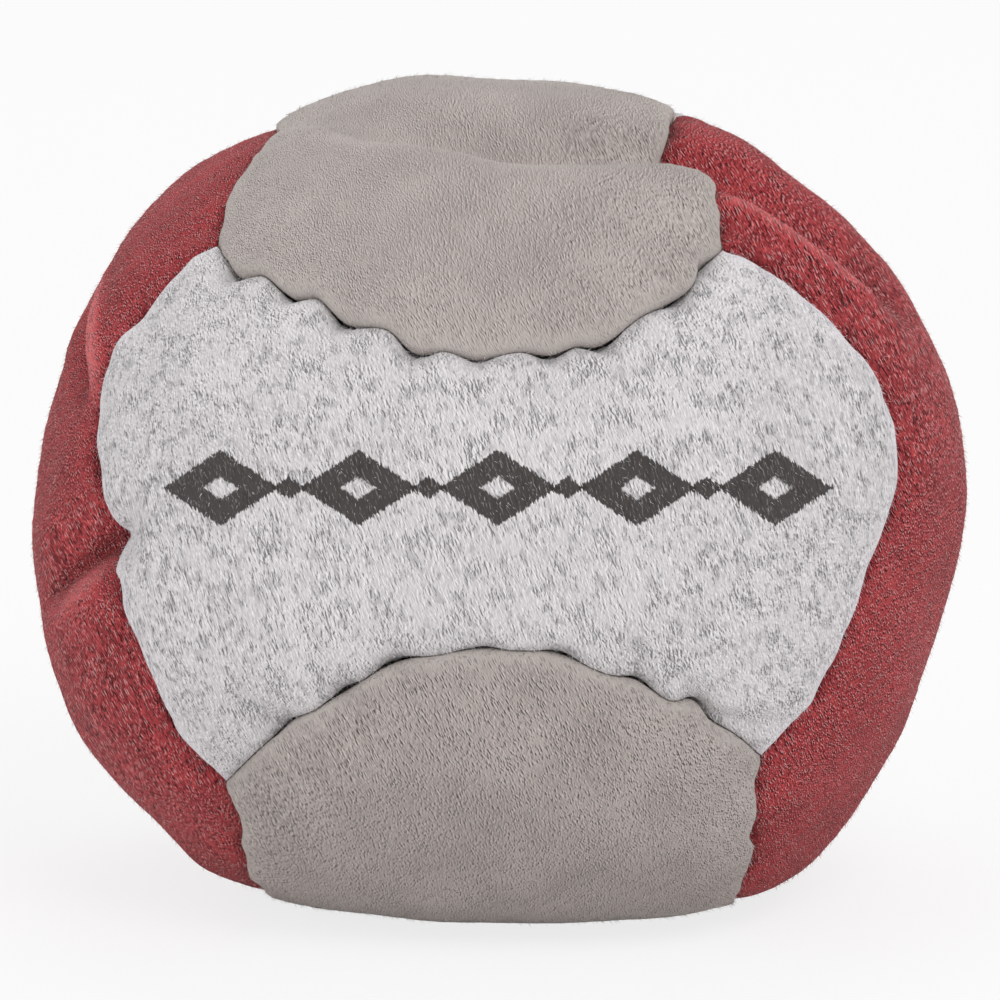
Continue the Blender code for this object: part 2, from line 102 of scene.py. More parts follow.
def blend(
    before: np.ndarray, first: np.ndarray, second: np.ndarray, after: np.ndarray, part: np.ndarray
) -> np.ndarray:
    """Smooth value between the first and second of four values in a row.

    Args:
        before: The value ahead of the first.
        first: The value at part 0.
        second: The value at part 1.
        after: The value behind the second.
        part: How far along, from 0 to 1.

    Returns:
        The value there.
    """
    return (
        first
        + (second - before) * part / 2
        + (2 * before - 5 * first + 4 * second - after) * part**2 / 2
        + (3 * first - before - 3 * second + after) * part**3 / 2
    )


def through(points: np.ndarray, steps: int) -> np.ndarray:
    """A smooth curve through points.

    Args:
        points: The points, one a row.
        steps: Steps from each point to the next.

    Returns:
        The curve's points, one a row.
    """
    rows = np.vstack((2 * points[0] - points[1], points, 2 * points[-1] - points[-2]))
    parts = (np.arange(steps) / steps)[:, None]
    spans = [blend(*rows[start : start + 4], parts) for start in range(len(points) - 1)]
    return np.vstack((*spans, points[-1:]))


def smooth_step(values: np.ndarray) -> np.ndarray:
    """Values from 0 to 1 eased at both ends."""
    kept = np.clip(values, 0.0, 1.0)
    return kept * kept * (3 - 2 * kept)


def ripple(points: np.ndarray, wavelength: float, seed: int, waves: int = 28) -> np.ndarray:
    """Soft unevenness of about -1 to 1 that is the same on each run.

    Args:
        points: Places in the bag's frame.
        wavelength: About how far apart the swells lie.
        seed: Which unevenness.
        waves: How many plane waves make it.

    Returns:
        One value for each point.
    """
    dice = np.random.default_rng(seed)
    ways = unit(dice.normal(size=(waves, 3)))
    slowest, fastest = 0.6, 1.5
    pace = 2 * math.pi / wavelength * dice.uniform(slowest, fastest, waves)
    start = dice.uniform(0, 2 * math.pi, waves)
    return np.cos(points @ (ways * pace[:, None]).T + start).sum(-1) * math.sqrt(1 / waves)


# The skin


@dataclass(frozen=True)
class Fold:
    """A fold or dent of the skin, or a brow that stands proud where its depth is below zero."""

    half_width: float
    depth: float
    places: tuple[Place, ...]
    steps: int = 12
    blend_turn: float = 0.035

    def dip(self, ways: np.ndarray, reach: np.ndarray) -> np.ndarray:
        """How far the fold draws the skin in.

        Args:
            ways: Directions on the face's axes.
            reach: How far the skin lies from the bag's middle at each.

        Returns:
            One depth for each direction.
        """
        shares = np.array([[place[2]] for place in self.places])
        rows = through(np.hstack((headings(self.places), shares)), self.steps)
        line = unit(rows[:, :3]).astype(np.float32)
        turn = np.arccos(np.clip(ways.astype(np.float32) @ line.T, -1, 1))
        least = turn.min(axis=-1)
        near = np.exp(-(turn**2 - least[:, None] ** 2) / self.blend_turn**2)
        share = near @ rows[:, 3] / near.sum(axis=-1)
        return self.depth * share * np.exp(-((least * reach / self.half_width) ** 2))


@dataclass(frozen=True)
class Skin:
    """The slumped ball that the panels cover."""

    width: float = 0.056
    half_depth: float = 0.0255
    middle: tuple[float, float, float] = (-0.000134, -0.000143, 0.0233)
    lean: float = math.radians(12)
    squareness: float = 2.25
    foot_radius: float = 0.0075
    foot_rise: float = math.radians(5)
    foot_rounding: float = 0.0022
    # How deep a fold is for the full mark: brushed-pale wear and painted highlight on a ridge,
    # painted shade in a hollow, which is held to a smaller share.
    fold_shade_depth: float = 0.0006
    hollow_shade: float = -0.5
    outline: tuple[float, ...] = (
        (1.002, 0.994, 0.975, 0.942, 0.936, 0.911)
        + (0.897, 0.927, 0.943, 0.965, 0.980, 0.971)
        + (0.988, 1.009, 1.021, 1.001, 1.009, 0.974)
        + (0.967, 0.994, 1.045, 1.018, 0.992, 0.975)
    )
    folds: tuple[Fold, ...] = (
        Fold(
            0.0031,
            0.0031,
            ((118, 78, 0), (110, 68, 0.35), (103, 60, 0.75), (92, 57, 1), (78, 57, 1))
            + ((66, 62.5, 1), (54, 66.5, 0.85), (44, 67, 0.7), (34, 70, 0.5), (24, 78, 0)),
        ),
        Fold(
            0.0028,
            -9e-4,
            ((114, 60, 0), (105, 50, 0.7), (92, 47, 1), (76, 47, 1), (64, 53.5, 1))
            + ((52, 58.5, 0.85), (42, 59, 0.7), (32, 62, 0.5), (22, 70, 0)),
        ),
        Fold(0.0019, 0.0013, ((183, 45, 0), (186, 53, 1), (189, 64, 0.9), (192, 80, 0))),
        Fold(0.0024, 0.0012, ((147, 94, 0), (153, 83, 1), (160, 75, 1), (168, 69, 0))),
    )
    wrinkles: tuple[Fold, ...] = (
        Fold(
            6.5e-4,
            -5.5e-4,
            ((58, 53, 0), (51.2, 55, 0.9), (45.8, 56.6, 1), (37.8, 58.3, 1), (30.5, 61, 0.8))
            + ((26, 72, 0),),
        ),
        Fold(
            0.0018,
            0.00105,
            ((58, 59.5, 0), (51, 60.5, 0.9), (45, 62.3, 1), (37, 64, 1), (30, 67.5, 0.7))
            + ((24, 78, 0),),
        ),
        Fold(9e-4, -6.5e-4, ((148, 82, 0), (153.5, 73, 1), (160, 66.6, 1), (169, 60, 0))),
        Fold(0.0013, 8e-4, ((147, 92, 0), (153, 81, 1), (160, 73, 1), (170, 65, 0))),
        Fold(5e-4, 7e-4, ((184, 51, 0), (186.5, 57, 1), (190, 67.5, 0.9), (193, 80, 0))),
        Fold(0.001, -3.6e-4, ((188, 53, 0), (191, 59, 1), (194, 68, 0.8), (197, 78, 0))),
        Fold(0.001, -4e-4, ((121, 74, 0), (115, 62, 1), (109, 54, 1), (96, 50, 0.6), (84, 50, 0))),
        Fold(6e-4, 4.5e-4, ((311, 35, 0), (314.5, 38, 1), (319, 43, 0.7), (323, 47.5, 0))),
        Fold(6e-4, 4e-4, ((317, 30.5, 0), (315.2, 33, 1), (313.5, 37, 0))),
        Fold(8e-4, 4.5e-4, ((312.5, 22, 0), (310.5, 24.6, 1), (308.5, 27, 0))),
        Fold(9e-4, 4.5e-4, ((218, 42, 0), (223, 40.2, 1), (228, 38, 0))),
    )

    @property
    def axes(self) -> np.ndarray:
        """The face's axes, to the right, up and out, one a row."""
        return np.array((RIGHT, self.face_up, self.face_out))

    @property
    def face_up(self) -> np.ndarray:
        """The way up across the bag's face."""
        return math.sin(self.lean) * UP + math.cos(self.lean) * OUT

    @property
    def face_out(self) -> np.ndarray:
        """The way out of the bag's face."""
        return math.sin(self.lean) * OUT - math.cos(self.lean) * UP

    def outline_share(self, bearing: np.ndarray) -> np.ndarray:
        """Outline of the bag, as a share of half the bag's width.

        Args:
            bearing: Bearings in radians.

        Returns:
            One share for each.
        """
        shares = np.array(self.outline)
        place = (bearing / (2 * math.pi) * len(shares)) % len(shares)
        start = np.floor(place).astype(int)
        near = (shares[(start + step) % len(shares)] for step in (-1, 0, 1, 2))
        return blend(*near, place - start)

    def surface(self, ways: np.ndarray) -> tuple[np.ndarray, np.ndarray]:
        """Places on the skin, with its folds and before the floor presses it.

        Args:
            ways: Directions on the face's axes, one a row.

        Returns:
            The places, and the ways out of the bag there.
        """
        sideways = np.hypot(ways[:, 0], ways[:, 1])
        deep = np.abs(ways[:, 2])
        power = self.squareness
        plump = (sideways**power + deep**power) ** (-1 / power)
        half_width = self.width / 2 * self.outline_share(np.arctan2(ways[:, 1], ways[:, 0]))
        halves = np.stack((half_width, half_width, np.full(len(ways), self.half_depth)), -1)
        offsets = (plump[:, None] * halves * ways) @ self.axes
        reach = np.linalg.norm(offsets, axis=-1)
        outward = offsets / reach[:, None]
        dip = sum(fold.dip(ways, reach) for fold in (*self.folds, *self.wrinkles))
        return np.array(self.middle) + offsets - outward * dip[:, None], outward

    def wear_and_fold_shade(self, ways: np.ndarray, reach: np.ndarray) -> np.ndarray:
        """Where the nap is brushed pale with a painted highlight on a ridge, and where painted
        shade lies in a hollow.

        Args:
            ways: Directions on the face's axes.
            reach: How far the skin lies from the bag's middle at each.

        Returns:
            From 1 on a sharp ridge to -0.5 in a sharp hollow.
        """
        dip = sum(fold.dip(ways, reach) for fold in self.wrinkles)
        return np.clip(-dip / self.fold_shade_depth, self.hollow_shade, 1)

    def on_floor(self, points: np.ndarray) -> np.ndarray:
        """Points pressed up by the floor.

        Args:
            points: Points of a sheet.

        Returns:
            The points, flat within the foot and rising gently round it.
        """
        pressed = points.copy()
        past_foot = np.maximum(np.hypot(points[..., 0], points[..., 1]) - self.foot_radius, 0.0)
        least = past_foot * math.tan(self.foot_rise)
        over = points[..., 2] - least
        soft = self.foot_rounding
        rounded = (over + soft) ** 2 / (4 * soft)
        pressed[..., 2] = least + np.where(over > soft, over, np.where(over > -soft, rounded, 0))
        return pressed

    def stepped(self, ways: np.ndarray, across: np.ndarray, distance: np.ndarray) -> np.ndarray:
        """Directions moved a distance along the skin.

        Args:
            ways: Directions on the face's axes.
            across: The way to move at each, in the bag's frame.
            distance: How far to move.

        Returns:
            The new directions.
        """
        reach = np.linalg.norm(self.surface(ways)[0] - self.middle, axis=-1)
        turn = (np.broadcast_to(distance, reach.shape) / reach)[:, None]
        return unit(ways + across @ self.axes.T * turn)


CORNERS: dict[str, Place] = {
    "left_top_front": (138, 54.5),
    "right_top_front": (48, 48),
    "left_bottom_front": (226, 54.5),
    "right_bottom_front": (316, 48.5),
    "left_top_back": (121, 104),
    "right_top_back": (65, 86),
    "left_bottom_back": (226, 127),
    "right_bottom_back": (316, 129),
}
CORNER_ROUND = ("left_bottom", "right_bottom", "right_top", "left_top")


@dataclass
class Seam:
    """A sewn seam between two panels, gathered a little by each stitch.

    It runs from the first to the second of the two corners that share its name's words, and the
    first of its two sides lies to the left on that way.
    """

    name: str
    places: tuple[Place, ...]
    seed: int
    sway: float = 0.00016
    gape: float = 0.00010
    pinch: float = 0.00022
    lap: float = 0.0
    set_gathers: tuple[float, ...] = ()
    scallops: tuple[tuple[float, float], ...] = ()
    gather_pitch: float = 0.0037
    gather_reach: float = 0.0018
    gather_width: float = 0.30
    uneven_pitch: float = 0.22
    weakest: float = 0.6
    strongest: float = 1.2
    gap: float = 0.00004
    calm_ends: float = 0.0016
    stitch_pitch: float = 0.0046
    end_margin: float = 0.0030
    samples: int = 600
    step: float = 0.004
    ends: set[str] = field(init=False)
    start: str = field(init=False)
    line: np.ndarray = field(init=False)
    along: np.ndarray = field(init=False)
    gathers: np.ndarray = field(init=False)
    strength: np.ndarray = field(init=False)

    def __post_init__(self) -> None:
        """Draw the seam's line; measure() adds its lengths."""
        words = set(self.name.split("_"))
        self.start, end = (corner for corner in CORNERS if words < set(corner.split("_")))
        self.ends = {self.start, end}
        places = (CORNERS[self.start], *self.places, CORNERS[end])
        steps = max(2, self.samples // (len(places) - 1))
        self.line = unit(through(headings(places), steps))

    def measure(self, skin: Skin) -> None:
        """Note lengths along the seam, and set out its gathers.

        Args:
            skin: The bag's skin.
        """
        points = skin.surface(self.line)[0]
        steps = np.linalg.norm(np.diff(points, axis=0), axis=1)
        self.along = np.concatenate(([0.0], np.cumsum(steps)))
        dice = np.random.default_rng(self.seed)
        count = len(self.set_gathers) or max(2, round(self.length / self.gather_pitch))
        jitter = dice.uniform(-self.uneven_pitch, self.uneven_pitch, count)
        even = (np.arange(count) + 0.5 + jitter) / count
        self.gathers = np.array(self.set_gathers) if self.set_gathers else even
        self.strength = dice.uniform(self.weakest, self.strongest, count)

    @property
    def length(self) -> float:
        """The seam's length."""
        return self.along[-1]

    def ways(self, shares: np.ndarray) -> np.ndarray:
        """Directions at shares of the seam's length."""
        at = shares * self.length
        return unit(np.stack([np.interp(at, self.along, values) for values in self.line.T], -1))

    def wave(self, shares: np.ndarray) -> np.ndarray:
        """How drawn in the seam is.

        Args:
            shares: Shares of the seam's length.

        Returns:
            From 0 between the gathers to about 1 at each.
        """
        width = self.gather_width * self.gather_pitch
        away = (shares[:, None] - self.gathers) * self.length / width
        return (np.exp(-(away**2)) * self.strength).sum(-1)

    def scallop(self, shares: np.ndarray) -> np.ndarray:
        """How far the seam is drawn to its left.

        Args:
            shares: Shares of the seam's length.

        Returns:
            One distance for each.
        """
        if not self.scallops:
            return self.sway * (self.wave(shares) - 0.5)
        at, reach = np.array(self.scallops).T
        place = np.clip(np.searchsorted(at, shares, side="right") - 1, 0, len(at) - 2)
        part = smooth_step((shares - at[place]) / (at[place + 1] - at[place]))
        return reach[place] + (reach[place + 1] - reach[place]) * part

    def calm(self, shares: np.ndarray) -> np.ndarray:
        """From 0 at the seam's ends to 1 along its run."""
        to_end = np.minimum(shares, 1 - shares) * self.length
        return smooth_step(to_end / self.calm_ends)

    def frames(self, skin: Skin, shares: np.ndarray) -> tuple[np.ndarray, ...]:
        """The seam's line on the skin.

        Args:
            skin: The bag's skin.
            shares: Shares of the seam's length.

        Returns:
            Places, the way ahead, the way across to the left, and the way out of the bag.
        """
        points, outward = skin.surface(self.ways(shares))
        fore = skin.surface(self.ways(np.minimum(shares + self.step, 1.0)))[0]
        back = skin.surface(self.ways(np.maximum(shares - self.step, 0.0)))[0]
        ahead = unit(fore - back)
        return points, ahead, unit(np.cross(outward, ahead)), outward

    def holes(self) -> np.ndarray:
        """Middles of the needle holes, as shares of the seam's length."""
        count = max(1, round((self.length - 2 * self.end_margin) / self.stitch_pitch))
        margin = self.end_margin / self.length
        return margin + (1 - 2 * margin) * np.arange(count + 1) / count


def sewn_seams() -> list[Seam]:
    """The twelve seams, each named for the panels it joins."""
    return [
        Seam(
            "front_top",
            ((137, 44), (134, 36.5), (130, 30.5), (123, 25), (112, 21), (93, 20.8), (72, 21))
            + ((57, 25), (51, 31.5), (48.5, 39)),
            seed=11,
            pinch=4e-4,
            gape=1.6e-4,
            lap=1.8e-4,
            set_gathers=(0.087, 0.205, 0.3, 0.425, 0.52, 0.631, 0.71, 0.86, 0.94),
            scallops=((0, 0), (0.05, -3e-4), (0.085, -7e-4), (0.14, 2e-4), (0.205, -2.4e-4))
            + ((0.242, 4.2e-4), (0.305, -2.4e-4), (0.37, 3.6e-4), (0.425, -3.8e-4))
            + ((0.464, -0.5e-4), (0.52, -7.6e-4), (0.596, -0.8e-4), (0.631, -2.8e-4))
            + ((0.674, 0.3e-4), (0.703, -2.8e-4), (0.785, 1.4e-4), (0.885, -3e-4))
            + ((0.938, 2.8e-4), (1, 0)),
        ),
        Seam(
            "front_bottom",
            ((226.5, 43), (229.5, 34.5), (236, 25.5), (251, 20.5), (271, 19), (289, 20))
            + ((300, 23.5), (307, 28), (312, 34), (314.5, 41)),
            seed=12,
            pinch=4e-4,
            gape=1.2e-4,
            lap=-1.5e-4,
            set_gathers=(0.165, 0.285, 0.375, 0.51, 0.62, 0.745, 0.855),
            scallops=((0, 0), (0.14, 0), (0.19, 1.8e-4), (0.24, 0.8e-4), (0.3, 0.2e-4))
            + ((0.403, 3e-4), (0.454, 1e-4), (0.532, 0.4e-4), (0.64, 2.2e-4), (0.691, 1.4e-4))
            + ((0.743, 2.6e-4), (0.794, -0.6e-4), (0.845, 5e-4), (0.885, 0.3e-4))
            + ((0.93, 1.4e-4), (1, 0)),
        ),
        Seam(
            "front_left",
            ((143.5, 55.5), (151, 57), (160, 61), (170, 59.8), (179, 56), (185, 54.5))
            + ((190, 54.5), (198, 51.5), (206, 50.8), (216, 52.5)),
            seed=13,
            lap=2.5e-4,
            scallops=((0, 0), (0.1, 1e-4), (0.22, -1.2e-4), (0.34, 1.2e-4), (0.46, 0))
            + ((0.525, -1.6e-4), (0.551, 0.5e-4), (0.56, -4.6e-4), (0.58, -3e-4))
            + ((0.605, -0.5e-4), (0.64, 2.8e-4), (0.7, -1e-4), (0.8, 0.5e-4), (0.88, -3.8e-4))
            + ((0.94, 0), (1, 0)),
        ),
        Seam(
            "front_right",
            ((42, 49), (35, 50.3), (26, 52.5), (17, 55.2), (8, 55.8), (0, 54), (352, 52))
            + ((341, 51), (329, 49.5), (320, 48.3)),
            seed=14,
            pinch=1.2e-4,
            lap=-2.5e-4,
            scallops=((0, 0), (0.03, 1e-4), (0.06, 2.2e-4), (0.13, 2e-4), (0.23, 0))
            + ((0.48, 0.6e-4), (0.75, 0.4e-4), (0.82, 2e-4), (0.875, 4.2e-4), (0.93, 1e-4))
            + ((1, 0),),
        ),
        Seam("back_top", ((113, 114), (99, 118), (84, 112), (73, 99)), seed=15),
        Seam("back_bottom", ((229, 143), (270, 161), (312, 144)), seed=16),
        Seam("back_left", ((146, 114), (178, 120), (206, 124)), seed=17),
        Seam("back_right", ((53, 93.5), (37, 104), (12, 115), (343, 124)), seed=18),
        Seam(
            "top_left",
            ((135, 57.5), (130.5, 62.5), (126, 67.5), (122, 75), (119.5, 88)),
            seed=19,
            lap=-3.5e-4,
            scallops=((0, 0), (0.058, -2.6e-4), (0.125, -1.8e-4), (0.18, -3e-4))
            + ((0.235, -1.6e-4), (0.284, -2.6e-4), (0.34, 0.8e-4), (0.4, -1.2e-4))
            + ((0.46, -3e-4), (0.56, 1e-4), (0.72, -1e-4), (1, 0)),
        ),
        Seam(
            "top_right",
            ((52, 51.5), (56, 56.5), (61, 62), (64.5, 69), (65.5, 77)),
            seed=20,
            lap=3.5e-4,
            scallops=((0, 0), (0.05, 1e-4), (0.1, 0.5e-4), (0.155, 4.2e-4), (0.2, 3.6e-4))
            + ((0.26, 1e-4), (0.35, -0.5e-4), (0.52, 1.2e-4), (0.7, -1e-4), (1, 0)),
        ),
        Seam(
            "bottom_left",
            ((231.5, 60), (236, 69.5), (240, 80), (241, 97), (233, 114)),
            seed=21,
            lap=3e-4,
            scallops=((0, 0), (0.03, 5e-4), (0.06, 5.8e-4), (0.09, 5e-4), (0.145, 1e-4))
            + ((0.19, 2.8e-4), (0.23, 2.4e-4), (0.28, 5.5e-4), (0.36, 1.5e-4), (0.48, -1.5e-4))
            + ((0.62, 1.5e-4), (0.8, -1e-4), (1, 0)),
        ),
        Seam(
            "bottom_right",
            ((310, 54), (306.5, 59), (303, 66), (300, 78), (299, 95), (308, 114)),
            seed=22,
            lap=-3e-4,
            scallops=((0, 0), (0.037, -5e-4), (0.085, -3e-4), (0.135, -4e-4), (0.16, -0.4e-4))
            + ((0.216, 0.4e-4), (0.245, -3e-4), (0.29, -5.6e-4), (0.38, -1.5e-4), (0.5, 1.5e-4))
            + ((0.66, -1.2e-4), (0.82, 1e-4), (1, 0)),
        ),
    ]


@dataclass
class Side:
    """One side of a panel: a seam as the panel's grid meets it."""

    seam: Seam
    forward: bool
    inside_left: bool

    def shares(self, parts: np.ndarray) -> np.ndarray:
        """Shares of the seam's length at parts of the side."""
        return parts if self.forward else 1 - parts

    @property
    def lap(self) -> float:
        """How far the panel stands over its neighbour, or under it where less than zero."""
        return self.seam.lap * self.inward

    @property
    def inward(self) -> int:
        """1 where the panel lies to the seam's left, and -1 to its right."""
        return 1 if self.inside_left == self.forward else -1

    def border(self, skin: Skin, parts: np.ndarray) -> np.ndarray:
        """Directions of the panel's edge, swayed and held off the other panel's edge.

        Args:
            skin: The bag's skin.
            parts: Parts of the side's length.

        Returns:
            One direction for each.
        """
        seam, shares = self.seam, self.shares(parts)
        _, _, across, _ = seam.frames(skin, shares)
        apart = self.inward * (seam.gap + seam.gape * seam.wave(shares)) / 2
        off = (seam.scallop(shares) + apart) * seam.calm(shares)
        return skin.stepped(seam.ways(shares), across, off)


# Suede


def put_in(
    name: str, data: bpy.types.ID, place: Vector | None = None, facing: Vector | None = None
) -> bpy.types.Object:
    """Put an object in the scene.

    Args:
        name: Its name.
        data: Its mesh, lamp or camera.
        place: Where it stands, for a lamp or the camera.
        facing: The way it looks from there.

    Returns:
        The object.
    """
    made = bpy.data.objects.new(name, data)
    if facing:
        made.location = place
        made.rotation_euler = facing.to_track_quat("-Z", "Y").to_euler()
    bpy.context.scene.collection.objects.link(made)
    return made


def made_piece(
    name: str, points: list, faces: list, material: bpy.types.Material
) -> bpy.types.Object:
    """A mesh piece in the scene, of one material.

    Args:
        name: Its name.
        points: Its points.
        faces: Its faces.
        material: Its finish.

    Returns:
        The piece.
    """
    mesh = bpy.data.meshes.new(name)
    mesh.from_pydata(points, [], faces)
    mesh.materials.append(material)
    return put_in(name, mesh)


@dataclass
class SuedePanel:
    """A suede panel: a fine sheet that rolls over at its seams, with the allowance turned in."""

    name: str
    corners: tuple[str, str, str, str]
    cloth: Cloth
    cut: tuple[float, float]
    cut_area: float
    seed: int
    thickness: float = 0.0009
    crown: float = 0.0005
    crown_reach: float = 0.0032
    crown_blend: float = 3.0
    roll_width: float = 0.0008
    roll_depth: float = 0.0007
    tucked_depth: float = 0.00025
    pocket_depth: float = 0.00055
    overhang: float = 0.00012
    # How far the painted highlight along lapping edges reaches, and how far the painted shade under
    # a neighbour's edge reaches and its least share.
    rim_highlight_reach: float = 0.00070
    tucked_shade_reach: float = 0.00075
    tucked_shade_least: float = 0.25
    seam_depth: float = 0.0011
    roll_steps: int = 7
    lap_reach: float = 0.0026
    spacing: float = 0.00027
    uneven: float = 0.00010
    uneven_wavelength: float = 0.0075
    nubs: float = 0.000022
    nub_wavelength: float = 0.0011
    hole_top: float = 0.0012
    hole: float = 0.00128
    allowance: float = 0.00348
    first_turn: float = 0.0004
    corner_share: float = 0.45
    corner_reach: float = 0.0030
    seam_gap: float = 0.0003
    skived: float = 0.35
    skived_reach: float = 0.0020
    from_seam: np.ndarray = field(init=False)
    nap_points: np.ndarray = field(init=False)
    nap_quads: np.ndarray = field(init=False)

    def sides(self, seams: list[Seam]) -> list[Side]:
        """The panel's sides at the grid's bottom, right, top and left.

        Args:
            seams: All the seams.

        Returns:
            The four sides in that order.
        """
        first, second, third, fourth = self.corners
        made = []
        ends = ((first, second), (second, third), (fourth, third), (first, fourth))
        for number, (start, end) in enumerate(ends):
            seam = next(seam for seam in seams if seam.ends == {start, end})
            made.append(Side(seam, seam.start == start, number < 2))
        return made

    def graded(self, length: float) -> np.ndarray:
        """Parts of a side at which the grid has its lines.

        Args:
            length: The side's length.

        Returns:
            The parts, close together at both ends.
        """
        turns = np.linspace(0, math.pi / 2, self.roll_steps + 1)
        ends = self.roll_width * (1 - np.cos(turns))
        span = length - 2 * self.roll_width
        inner = max(4, round(span / self.spacing))
        middle = self.roll_width + span * np.arange(1, inner) / inner
        return np.concatenate((ends, middle, length - ends[::-1])) / length

    def patch(self, borders: list[np.ndarray], across: np.ndarray, up: np.ndarray) -> np.ndarray:
        """Directions of the grid's points, blended from those of its four borders.

        Args:
            borders: Directions along the bottom, right, top and left.
            across: Where the columns are, from 0 to 1.
            up: Where the rows are.

        Returns:
            Directions by column and row.
        """
        bottom, right, top, left = borders
        u, v = across[:, None, None], up[None, :, None]
        ruled = (1 - v) * bottom[:, None] + v * top[:, None]
        ruled = ruled + (1 - u) * left[None] + u * right[None]
        corners = (1 - u) * (1 - v) * bottom[0] + u * (1 - v) * bottom[-1]
        corners = corners + (1 - u) * v * top[0] + u * v * top[-1]
        return unit(ruled - corners)

    def shape(self, skin: Skin, seams: list[Seam]) -> tuple[np.ndarray, list, np.ndarray]:
        """The panel's outer face.

        Args:
            skin: The bag's skin.
            seams: All the seams.

        Returns:
            The points of the grid and of the turned-in allowance, the faces between them, and
            three marks for each point: a painted highlight near an edge that laps over its
            neighbour, brushed-pale wear with painted highlight on ridges and painted shade in
            hollows, and painted shade under a neighbour's edge.
        """
        sides = self.sides(seams)
        lengths = [side.seam.length for side in sides]
        across = self.graded((lengths[0] + lengths[2]) / 2)
        up = self.graded((lengths[1] + lengths[3]) / 2)
        parts = (across, up, across, up)
        borders = [side.border(skin, part) for side, part in zip(sides, parts)]
        ways = self.patch(borders, across, up)
        columns, rows = len(across), len(up)
        flat_ways = ways.reshape(-1, 3)
        points, outward = skin.surface(flat_ways)
        grid = points.reshape(columns, rows, 3)
        crowding, rolled, drawn, rim_highlight, tucked_shade = np.zeros((5, len(points)))
        pushed = np.zeros_like(points)
        self.from_seam = np.full(len(points), np.inf)
        for number, (side, part) in enumerate(zip(sides, parts)):
            edge = (grid[:, 0], grid[-1], grid[:, -1], grid[0])[number]
            shares = side.shares(part)
            _, ahead, _, _ = side.seam.frames(skin, shares)
            if number % 2 == 0:
                gap = grid - edge[:, None]
                ahead, shares = ahead[:, None], np.repeat(shares[:, None], rows, 1)
            else:
                gap = grid - edge[None]
                ahead, shares = ahead[None], np.repeat(shares[None], columns, 0)
            run = (gap * ahead).sum(-1)
            inward = (gap - run[..., None] * ahead).reshape(-1, 3)
            away = np.linalg.norm(inward, axis=-1)
            self.from_seam = np.minimum(self.from_seam, away)
            at = (shares + run / side.seam.length).ravel()
            calm = side.seam.calm(np.clip(at, 0, 1))
            wave = side.seam.wave(at) * calm
            near = np.clip(1 - away / self.roll_width, 0, 1)
            crowding += np.exp(-self.crown_blend * away / self.crown_reach)
            depth = self.roll_depth
            if side.lap < 0:
                pocket = np.clip(wave, 0, 1)
                depth = self.tucked_depth + self.pocket_depth * pocket
                # Painted shade where the panel tucks under its neighbour, darkest in the gathers'
                # pockets.
                pocket_shade = self.tucked_shade_least + (1 - self.tucked_shade_least) * pocket
                pocket_shade = pocket_shade * np.exp(-((away / self.tucked_shade_reach) ** 2))
                tucked_shade = np.maximum(tucked_shade, pocket_shade)
            else:
                share = self.overhang * np.sin(math.pi * near) * calm / np.maximum(away, 1e-9)
                pushed -= inward * share[:, None]
            if side.lap > 0:
                # Painted highlight along an edge that laps over its neighbour.
                rim_highlight = np.maximum(rim_highlight, np.exp(-((away / self.rim_highlight_reach) ** 2)))
            rolled = np.maximum(rolled, depth * (1 - np.sqrt(1 - near**2)))
            drawn -= side.lap * calm * np.exp(-away / self.lap_reach)
            drawn += side.seam.pinch * wave * np.exp(-away / side.seam.gather_reach)
        dip = self.crown * crowding ** (1 / self.crown_blend) + rolled + drawn
        dip = dip + self.uneven * ripple(points, self.uneven_wavelength, self.seed)
        dip = dip + self.nubs * ripple(points, self.nub_wavelength, self.seed + 1)
        top = skin.on_floor(points + pushed - outward * dip[:, None])
        numbers = np.arange(columns * rows).reshape(columns, rows)
        quads = np.stack(
            (numbers[:-1, :-1], numbers[1:, :-1], numbers[1:, 1:], numbers[:-1, 1:]), -1
        ).reshape(-1, 4)
        ring = np.concatenate(
            (numbers[:-1, 0], numbers[-1, :-1], numbers[:0:-1, -1], numbers[0, :0:-1])
        )
        self.nap_points, self.nap_quads = top, quads
        more, strips = self.turned_in(skin, sides, parts, ring, len(top))
        reach = np.linalg.norm(points - skin.middle, axis=-1)
        marks = np.stack((rim_highlight, skin.wear_and_fold_shade(flat_ways, reach), tucked_shade))
        marks = np.pad(marks, ((0, 0), (0, len(more))))
        return np.vstack((top, more)), [*quads.tolist(), *strips], marks

